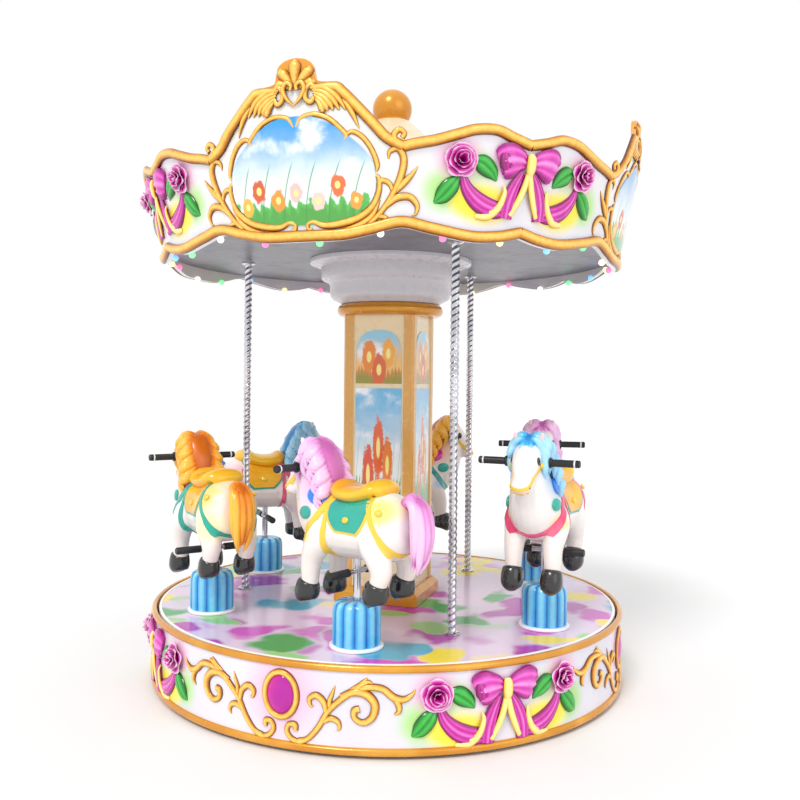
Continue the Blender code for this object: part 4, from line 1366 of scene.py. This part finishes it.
def melted(name, meshes, voxel, relax):
    """Overlapping forms melted into one smooth skin."""
    carrier = put(name, joined(name, meshes))
    remesh = carrier.modifiers.new("melt", "REMESH")
    remesh.mode = "VOXEL"
    remesh.voxel_size = voxel
    smooth = carrier.modifiers.new("relax", "SMOOTH")
    smooth.iterations = relax
    smooth.factor = 0.5
    return result_of(carrier, name)


def leg(hip_x, knee_x, hoof_x, sole, side):
    y = side * LEG_APART
    return limb([(hip_x, y * 0.86, 0.500, 0.050, 0.070), (hip_x, y, 0.440, 0.054, 0.066),
                 (knee_x, y, 0.350, 0.041, 0.047), (hoof_x, y, sole + HOOF_HEIGHT, 0.033, 0.036),
                 (hoof_x + 0.006, y, sole + 0.062, 0.034, 0.036)])


def pony_form():
    """The moulded body: trunk, neck, head with muzzle, cheeks and ears, and four plump legs."""
    trunk = limb(mm((-262, 0, 508, 20, 26), (-240, 0, 506, 88, 92), (-160, 0, 496, 128, 134),
                    (-40, 0, 484, 116, 128), (70, 0, 486, 112, 130), (152, 0, 516, 106, 132),
                    (202, 0, 595, 86, 106), (222, 0, 680, 68, 82), (222, 0, 750, 56, 62),
                    (216, 0, 780, 26, 26)))
    head = limb(mm((208, 0, 768, 34, 26), (240, 0, 738, 58, 50), (282, 0, 690, 58, 54),
                   (316, 0, 640, 42, 41), (342, 0, 600, 44, 36), (352, 0, 580, 24, 18)))
    forms = [trunk, head, ball((0.335, 0, 0.606), (0.036, 0.045, 0.032))]
    for side in (-1, 1):
        forms.append(ball((0.262, side * 0.034, 0.700), (0.036, 0.026, 0.040)))
        forms.append(ball((0.352, side * 0.022, 0.600), (0.013, 0.013, 0.013)))
        forms.append(ball((-0.165, side * 0.050, 0.505), (0.085, 0.078, 0.098)))
        forms.append(ball((0.125, side * 0.052, 0.480), (0.060, 0.060, 0.080)))
        forms.append(limb([(0.232, side * 0.036, 0.762, 0.014, 0.018),
                           (0.240, side * 0.050, 0.792, 0.015, 0.017),
                           (0.246, side * 0.056, 0.812, 0.009, 0.010),
                           (0.249, side * 0.058, 0.823, 0.004, 0.004)], steps=3))
        forms.append(leg(0.118, 0.164, 0.174, FRONT_SOLE, side))
        forms.append(leg(-0.150, -0.182, -0.170, HIND_SOLE, side))
    return melted("pony_form", forms, VOXEL, 5)


def hoof_forms():
    """Four black hooves: round toes with a rolled upper edge."""
    hooves = []
    for side in (-1, 1):
        for x, sole in ((0.186, FRONT_SOLE), (-0.160, HIND_SOLE)):
            y = side * LEG_APART
            hooves.append(limb([(x - 0.008, y, sole + 0.086, 0.030, 0.030),
                                (x - 0.006, y, sole + 0.078, 0.041, 0.044),
                                (x, y, sole + 0.052, 0.046, 0.051),
                                (x + 0.003, y, sole + 0.026, 0.046, 0.051),
                                (x + 0.002, y, sole + 0.006, 0.038, 0.042),
                                (x, y, sole, 0.020, 0.022)], sides=24, steps=4))
    return joined("hooves", hooves)


def lock(stations, across, sides=9):
    """A tapering lock of hair through (x, y, z, radius), its section set by a direction."""
    rows = smooth_path(stations, 4)
    centres = rows[:, :3]
    ahead = np.gradient(centres, axis=0)
    wide = np.cross(ahead, across)
    wide /= np.linalg.norm(wide, axis=1)[:, None]
    deep = np.cross(ahead, wide)
    deep /= np.linalg.norm(deep, axis=1)[:, None]
    turn = np.arange(sides) * tau / sides
    radius = np.maximum(rows[:, 3], 0.001)[:, None, None]
    rings = centres[:, None, :] + radius * (np.cos(turn)[None, :, None] * wide[:, None, :]
                                            + np.sin(turn)[None, :, None] * deep[:, None, :])
    return faces_outward(skin("lock", rings))


def mane_paths():
    """Locks that part on the crest and fall down both sides of the neck."""
    paths = []
    crest = smooth_path([(0.262, 0.772), (0.222, 0.800), (0.178, 0.778), (0.146, 0.730),
                         (0.122, 0.670), (0.104, 0.615)], 3)
    for side in (-1, 1):
        for k, (x, z) in enumerate(crest[1:]):
            share = k / (len(crest) - 2)
            fall = 0.115 + 0.045 * sin(2.1 * k + side) - 0.05 * share
            spread = 0.062 + 0.030 * share
            paths.append([(x, side * 0.004, z, 0.010), (x + 0.004, side * 0.034, z + 0.004, 0.019),
                          (x - 0.004, side * spread, z - 0.30 * fall, 0.019),
                          (x + 0.012, side * (spread + 0.012), z - 0.68 * fall, 0.014),
                          (x - 0.006, side * (spread + 0.006), z - fall, 0.003)])
    return paths


def forelock_paths():
    """Three locks that fall over the brow."""
    paths = []
    for side, reach in ((-0.5, 0.9), (0.5, 1.0), (0.0, 1.15)):
        paths.append([(0.232, 0.02 * side, 0.796, 0.012),
                      (0.268, 0.030 * side, 0.776 - 0.01 * reach, 0.015),
                      (0.292, 0.040 * side, 0.742 - 0.02 * reach, 0.012),
                      (0.303, 0.034 * side, 0.712 - 0.02 * reach, 0.003)])
    return paths


def tail_paths():
    """Locks of the tail: up from the rump, then down in an S."""
    paths = []
    for k in range(9):
        turn = tau * k / 9
        wide, deep = 0.026 * cos(turn), 0.020 * sin(turn)
        length = 0.020 * sin(3 * turn + 0.7)
        paths.append([(-0.225, 0.3 * wide, 0.575 + 0.3 * deep, 0.010),
                      (-0.262, 0.8 * wide, 0.603 + 0.7 * deep, 0.018),
                      (-0.300 + 0.6 * deep, 1.3 * wide, 0.568, 0.021),
                      (-0.312 + deep, 1.5 * wide, 0.480, 0.020),
                      (-0.302 + deep, 1.2 * wide, 0.405 + length, 0.013),
                      (-0.284 + deep, 0.6 * wide, 0.355 + length, 0.003)])
    return paths


def hair_form():
    """Mane and tail: a solid core under the locks, with "rise" for painted shade between the locks
    and a painted highlight on them.
    """
    mane = limb(mm((262, 0, 762, 30, 14), (228, 0, 788, 48, 24), (176, 0, 764, 56, 32),
                   (136, 0, 700, 52, 32), (116, 0, 632, 40, 24)))
    tail = limb(mm((-205, 0, 560, 20, 18), (-256, 0, 600, 30, 26), (-300, 0, 565, 34, 28),
                   (-310, 0, 475, 34, 28), (-298, 0, 400, 22, 18), (-286, 0, 370, 8, 6)))
    core = joined("hair_core", [mane, tail])
    inner = surface_of(core)
    locks = [lock(path, (1, 0, 0)) for path in mane_paths()]
    locks += [lock(path, (0, 1, 0)) for path in forelock_paths() + tail_paths()]
    hair = joined("hair", [core, *locks])
    # Low rise in the grooves near the core gives painted shade, high rise on the locks a painted
    # highlight
    full_rise = 0.018
    rises = [min(inner.find_nearest(vertex.co)[3] / full_rise, 1.0) for vertex in hair.vertices]
    return with_mark(hair, "rise", rises)


def draped(surface, rays, lift, thick=0.003, closed=False):
    """A skin laid on a surface where rays from outside meet it; rays are rows of (from, to)."""
    rings = []
    for row in rays:
        over, under = [], []
        for start, end in row:
            start, end = Vector(start), Vector(end)
            place, normal, *_ = surface.ray_cast(start, (end - start).normalized())
            if place is None:
                place, normal = end, (start - end).normalized()
            over.append(place + normal * lift)
            under.append(place - normal * thick)
        rings.append([tuple(p) for p in over + under[::-1]])
    if closed:
        rings.append(rings[0])
    return faces_outward(skin("draped", rings, capped=not closed))


def girdle(surface, middle, reach, tilt, half_width, lift, count=49):
    """A strap right round the body, in a plane that leans about its middle (x, z)."""
    lean = radians(tilt)
    rays = []
    for turn in np.linspace(0, tau, count)[:-1]:
        row = []
        for share in np.linspace(-1, 1, 5):
            x = middle[0] + half_width * share * cos(lean)
            z = middle[1] - half_width * share * sin(lean)
            start = (x + reach * cos(turn) * sin(lean), reach * sin(turn),
                     z + reach * cos(turn) * cos(lean))
            row.append((start, (x, 0, z)))
        rays.append(row)
    return draped(surface, rays, lift, closed=True)


def blanket(surface, centre_x, half_length, droop, lift):
    """A saddle cloth over the back: round corners, down both flanks."""
    rays = []
    for turn in np.linspace(-droop, droop, 33):
        share = abs(turn) / droop
        half = half_length * (1 - max(share - 0.62, 0) ** 2 * 3.2)
        angle = radians(turn)
        row = []
        for place in np.linspace(-1, 1, 13):
            x = centre_x + half * place
            row.append(((x, 0.4 * sin(angle), 0.49 + 0.4 * cos(angle)), (x, 0, 0.49)))
        rays.append(row)
    return draped(surface, rays, lift)


def saddle_form():
    """The moulded seat: a dish between a raised cantle and a pommel."""
    return limb(mm((-150, 0, 606, 50, 20), (-138, 0, 630, 82, 34), (-112, 0, 634, 96, 40),
                   (-70, 0, 618, 100, 36), (-15, 0, 609, 100, 36), (40, 0, 612, 94, 36),
                   (72, 0, 626, 78, 38), (94, 0, 630, 48, 28)), sides=28)


def seen_from_side(surface, x, z, side):
    """Where a ray from one side meets a surface, and the surface's direction there."""
    place, normal, *_ = surface.ray_cast(Vector((x, side * 0.5, z)), Vector((0, -side, 0)))
    return place, normal


def studs(surface, spots, radii, lift):
    """Oval stones set on both sides of a surface, at spots (x, z)."""
    stones = []
    for side in (-1, 1):
        for x, z in spots:
            place, normal = seen_from_side(surface, x, z, side)
            stone = ball((0, 0, 0), radii)
            turn = normal.to_track_quat("Z", "X").to_matrix()
            points = points_of(stone) @ np.array(turn).T + np.array(place + normal * lift)
            stones.append(moved_points(stone, points))
    return joined("studs", stones)


def eyes(surface):
    """Dark eyes on the sides of the head, and small nostrils."""
    stones = []
    for side in (-1, 1):
        for x, z, radii in ((0.286, 0.706, (0.014, 0.009, 0.018)),
                            (0.352, 0.608, (0.006, 0.005, 0.005))):
            place, normal = seen_from_side(surface, x, z, side)
            stones.append(ball(place - normal * radii[1] / 2, radii))
    return joined("eyes", stones)


def pony_coat(name, hair, patches):
    """Cream-white paint with painted shade on the belly and lower legs, a tint of the hair's colour
    under the mane, and soft coloured patches.
    """
    mix = Recipe(name, (0.86, 0.82, 0.79), 0.24, coat=0.4)
    ahead, side, up = mix.parts(mix.read("in_pony", "Vector"))
    # Painted shade: below the belly's height the cream turns beige-pink
    underside_painted_shade = mix.between(up, 0.44, 0.34)
    mix.over(underside_painted_shade, (0.80, 0.66, 0.60), 0.35)
    under_mane = mix.spot(ahead, up, (0.175, 0.70), (0.085, 0.14), 0.5)
    mix.over(under_mane, hair, 0.55)
    for centre, radii, colour in patches:
        mix.over(mix.spot(ahead, up, centre, radii, 0.45), colour, 0.85)
    nose = mix.spot(ahead, up, (0.356, 0.590), (0.030, 0.022), 0.6)
    mix.over(nose, (0.92, 0.62, 0.58), 0.5)
    wide = mix.calc("ABSOLUTE", side)
    inner_ear = mix.calc("MULTIPLY", mix.spot(wide, up, (0.054, 0.800), (0.009, 0.018), 0.4),
                         mix.between(ahead, 0.242, 0.250))
    mix.over(inner_ear, (0.95, 0.55, 0.55))
    mix.mottled(0.05, 12.0)
    return mix.done()


# Each hair colour: painted shade, the hair's own colour, painted highlight
HAIR = {
    "orange": ((0.62, 0.13, 0.0), (0.92, 0.28, 0.005), (0.98, 0.50, 0.05)),
    "pink": ((0.60, 0.14, 0.44), (0.84, 0.32, 0.70), (0.92, 0.56, 0.84)),
    "blue": ((0.02, 0.24, 0.60), (0.06, 0.46, 0.84), (0.36, 0.68, 0.92)),
}
PONY_HAIR = ("pink", "blue", "pink", "orange", "blue", "orange")
PATCHES = {
    "orange": (((-0.150, 0.560), (0.080, 0.060), (1.0, 0.66, 0.10)),
               ((-0.195, 0.450), (0.060, 0.070), (0.98, 0.90, 0.45)),
               ((0.165, 0.440), (0.030, 0.026), (0.45, 0.66, 0.95))),
    "pink": (((-0.170, 0.560), (0.075, 0.045), (1.0, 0.80, 0.12)),
             ((0.170, 0.450), (0.040, 0.030), (0.98, 0.82, 0.30))),
    "blue": (((-0.180, 0.545), (0.075, 0.055), (0.98, 0.60, 0.66)),
             ((0.160, 0.455), (0.040, 0.030), (0.96, 0.76, 0.30))),
}


def in_world(mesh, k, keep_place=False):
    """A copy of a form made in the pony's own frame, put where pony k is."""
    low_corner, high_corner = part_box(f"lift_rod_{k + 1}")
    middle = (low_corner + high_corner) / 2
    bearing = FIRST_PONY + k * 360 / PONIES
    turn = Matrix.Rotation(radians(bearing + PONY_TURNED_OUT[k % 2]) + pi, 4, "Z")
    place = Matrix.Translation((middle.x, middle.y, low_corner.z - ROD_FOOT)) @ turn
    copy = mesh.copy()
    if keep_place:
        with_mark(copy, "in_pony", points_of(mesh))
    copy.transform(place)
    return copy


def bar_mesh(profile, x, z, sides=28):
    """A bar across the pony, turned from a profile of (radius, y)."""
    mesh = turned("bar", profile, sides)
    along = points_of(mesh)
    return moved_points(mesh, np.column_stack([along[:, 0] + x, along[:, 2], along[:, 1] + z]))


def cross_bar(radius, reach, x, z):
    """A plain bar across the pony, reaching as far to both sides."""
    return bar_mesh([(0, -reach), (radius, -reach), (radius, reach), (0, reach)], x, z)


def mirrored_bars(name, profile, x, z):
    """A bar to the left and one to the right, turned from one profile of (radius, y)."""
    return joined(name, [bar_mesh([(radius, side * y) for radius, y in profile], x, z)
                         for side in (-1, 1)])


def grip_profile():
    """A rubber grip with a flange at its inner end and fine rings along it."""
    inner = BAR_REACH - GRIP_LENGTH
    profile = [(0, inner - 0.006), (BAR_RADIUS, inner - 0.006),
               (GRIP_FLANGE - 0.001, inner - 0.006), (GRIP_FLANGE, inner - 0.003),
               (GRIP_FLANGE - 0.001, inner), (GRIP_RADIUS, inner)]
    for k in range(GRIP_RINGS):
        y = inner + (GRIP_LENGTH - 0.008) * (k + 0.5) / GRIP_RINGS
        profile += [(GRIP_RADIUS, y - 0.0022), (GRIP_RADIUS - 0.0010, y)]
    return profile + [(GRIP_RADIUS, BAR_REACH - 0.006), (GRIP_RADIUS - 0.003, BAR_REACH - 0.001),
                      (0, BAR_REACH)]


def harness(surface):
    """Cloth, straps, bridle and stones, all laid on the moulded body."""
    straps = (((0.135, 0.50), -38, 0.013, 0.0045), ((0.075, 0.49), 0, 0.009, 0.004),
              ((-0.178, 0.50), 28, 0.010, 0.004))
    bridle = (((0.300, 0.655), -52), ((0.250, 0.715), -38))
    return {
        "cloth": blanket(surface, -0.035, 0.098, 96, 0.004),
        "cloth_trim": blanket(surface, -0.035, 0.108, 101, 0.002),
        "straps": joined("straps", [girdle(surface, middle, 0.5, tilt, half_width, lift)
                                    for middle, tilt, half_width, lift in straps]),
        "shoulder_stones": studs(surface, [(0.140, 0.600)], (0.040, 0.046, 0.012), 0.002),
        "bridle": joined("bridle", [girdle(surface, middle, 0.4, tilt, 0.006, 0.003, 33)
                                    for middle, tilt in bridle]),
        "rosettes": studs(surface, [(0.186, 0.528)], (0.026, 0.034, 0.010), 0.003),
        "buttons": studs(surface, [(-0.035, 0.520), (-0.190, 0.560), (0.265, 0.690)],
                         (0.013, 0.016, 0.007), 0.006),
    }


def bars_and_rod():
    """The lift rod with its foot pegs, and the neck bar with its grips."""
    rod = turned("rod", [(0, ROD_FOOT), (ROD_RADIUS, ROD_FOOT), (ROD_RADIUS, ROD_TOP),
                         (0, ROD_TOP)], 32)
    peg_bar = cross_bar(0.011, PEG_INNER + 0.02, 0, PEG_HEIGHT)
    sleeve = [(0, PEG_INNER), (PEG_RADIUS, PEG_INNER), (PEG_RADIUS, PEG_REACH - 0.004),
              (PEG_RADIUS - 0.003, PEG_REACH), (0, PEG_REACH)]
    ring_start, ring_end = BAR_REACH - 0.024, BAR_REACH - 0.018
    ring_radius = GRIP_RADIUS + 0.0006
    ring = [(0.012, ring_start), (ring_radius, ring_start), (ring_radius, ring_end),
            (0.012, ring_end)]
    return {
        "lift_steel": joined("lift_steel", [rod, peg_bar]),
        "foot_pegs": mirrored_bars("foot_pegs", sleeve, 0, PEG_HEIGHT),
        "neck_bar": cross_bar(BAR_RADIUS, BAR_REACH - 0.01, BAR_AHEAD, BAR_HEIGHT),
        "grips": mirrored_bars("grips", grip_profile(), BAR_AHEAD, BAR_HEIGHT),
        "grip_rings": mirrored_bars("grip_rings", ring, BAR_AHEAD, BAR_HEIGHT),
    }


def pony_paints():
    """The finishes that the ponies choose from."""
    return {
        "black": plain_finish("hoof_black", (0.014, 0.013, 0.013), 0.22, coat=0.6, mottle=0.4),
        "saddle": plain_finish("saddle_yellow", (0.88, 0.50, 0.015), 0.24, coat=0.4,
                               second=(0.86, 0.36, 0.01)),
        "white": plain_finish("grip_ring_white", (0.80, 0.80, 0.80), 0.3),
        "teal": plain_finish("cloth_teal", (0.01, 0.40, 0.30), 0.26, coat=0.4,
                             second=(0.02, 0.30, 0.28)),
        "gold": plain_finish("cloth_trim", (0.86, 0.58, 0.05), 0.26, coat=0.4),
        "pink": plain_finish("strap_pink", (0.72, 0.05, 0.16), 0.26, coat=0.4,
                             second=(0.80, 0.16, 0.26)),
        "orange": plain_finish("cloth_orange", (0.86, 0.40, 0.01), 0.26, coat=0.4,
                               second=(0.90, 0.54, 0.03)),
        "blue_stone": plain_finish("stone_blue", (0.01, 0.20, 0.80), 0.10, coat=0.7),
        "magenta_stone": plain_finish("stone_magenta", (0.72, 0.01, 0.34), 0.10, coat=0.7),
    }


# Paints of the cloth, its trim, the straps and the shoulder stones, by colour of hair
DRESS = {
    "orange": ("orange", "teal", "teal", "magenta_stone"),
    "pink": ("teal", "gold", "gold", "blue_stone"),
    "blue": ("orange", "teal", "pink", "blue_stone"),
}


def make_ponies():
    """Six painted ponies with saddle, cloth, straps, bar and rod; all share one form."""
    form = pony_form()
    surface = surface_of(form)
    shapes = {"hair": hair_form(), "hooves": hoof_forms(), "eyes": eyes(surface),
              "saddle": saddle_form(), **harness(surface), **bars_and_rod()}
    paints = pony_paints()
    coats, hairs = {}, {}
    for k, colour in enumerate(PONY_HAIR):
        body = f"pony_{k + 1}"
        if colour not in coats:
            coats[colour] = pony_coat("pony_coat_" + colour, HAIR[colour][1], PATCHES[colour])
            hairs[colour] = relief_finish("hair_" + colour, *HAIR[colour], roughness=0.32)
        piece(body + "_coat", in_world(form, k, True), coats[colour], body,
              [f"pony_body_{k + 1}"], sharp_above=80)
        cloth, trim, strap, stones = (paints[name] for name in DRESS[colour])
        painted = {"hair": hairs[colour], "hooves": paints["black"], "eyes": paints["black"],
                   "saddle": paints["saddle"], "cloth": cloth, "cloth_trim": trim,
                   "straps": strap, "shoulder_stones": stones, "bridle": paints["gold"],
                   "rosettes": paints["teal"], "buttons": paints["gold"]}
        for label, finish in painted.items():
            piece(f"{body}_{label}", in_world(shapes[label], k), finish, body)
        fittings = (("grip_rings", paints["white"], "grip_black"), ("neck_bar", CHROME, "chrome"),
                    ("foot_pegs", RUBBER, "grip_black"))
        for label, finish, slot in fittings:
            piece(f"{body}_{label}", in_world(shapes[label], k), finish, body)
        piece(body + "_grips", in_world(shapes["grips"], k), RUBBER, body,
              [f"handlebar_{k + 1}"], sharp_above=30)
        piece(body + "_lift_steel", in_world(shapes["lift_steel"], k), CHROME, body,
              [f"lift_rod_{k + 1}"])


# Stage, light and camera

CAMERA_BEARING = 18.0
CAMERA_DISTANCE = 4.31
CAMERA_HEIGHT = 1.375
CAMERA_ROLL = 0.6
FRAME_PIXELS = 800
FOCAL_PIXELS = 891.0
OPTICAL_CENTRE = (389.5, 380.0)
SENSOR_WIDTH = 36


def make_camera():
    """The photograph's camera: looking level, with its optical centre off the frame's middle."""
    data = bpy.data.cameras.new("camera")
    camera = put("camera", data)
    back = Vector(on_ring(1, CAMERA_BEARING))
    place = back * CAMERA_DISTANCE + Vector((0, 0, CAMERA_HEIGHT))
    turn = (-back).to_track_quat("-Z", "Y").to_matrix().to_4x4()
    roll = Matrix.Rotation(radians(CAMERA_ROLL), 4, "Z")
    camera.matrix_world = Matrix.Translation(place) @ turn @ roll
    data.sensor_width = SENSOR_WIDTH
    data.lens = SENSOR_WIDTH * FOCAL_PIXELS / FRAME_PIXELS
    middle = FRAME_PIXELS / 2
    data.shift_x = (middle - OPTICAL_CENTRE[0]) / FRAME_PIXELS
    data.shift_y = (OPTICAL_CENTRE[1] - middle) / FRAME_PIXELS
    bpy.context.scene.camera = camera


def make_sun(name, bearing, height, strength, softness):
    """A soft, far light; its bearing, height and softness are in degrees."""
    data = bpy.data.lights.new(name, "SUN")
    data.energy = strength
    data.angle = radians(softness)
    up = radians(height)
    away = Vector(on_ring(cos(up), bearing, sin(up)))
    put(name, data).matrix_world = away.to_track_quat("Z", "Y").to_matrix().to_4x4()


def make_stage():
    """A pale floor as bright as the sky behind it, and soft studio light."""
    reach = 60
    corners = [(-reach, -reach, 0), (reach, -reach, 0), (reach, reach, 0), (-reach, reach, 0)]
    floor = put("studio_floor", mesh_from("studio_floor", corners, [(0, 1, 2, 3)]))
    floor.data.materials.append(plain_finish("studio_floor", (0.80, 0.80, 0.80), 0.9, coat=0.0,
                                             mottle=0.0))
    world = bpy.data.worlds.new("studio")
    bpy.context.scene.world = world
    world.use_nodes = True
    background = world.node_tree.nodes["Background"]
    background.inputs["Color"].default_value = (1, 1, 1, 1)
    background.inputs["Strength"].default_value = 1.0
    make_sun("key_light", CAMERA_BEARING - 28, 48, 1.45, 16)
    make_sun("fill_light", CAMERA_BEARING + 40, 18, 0.35, 40)
    bpy.context.scene.view_settings.view_transform = "Standard"


make_base()
make_platform()
make_column()
make_column_pictures()
make_ceiling()
make_roof()
make_canopy_walls()
make_drum_ornaments()
make_canopy_ornaments()
make_poles()
make_pedestals()
make_lamps()
make_ponies()
make_stage()
make_camera()
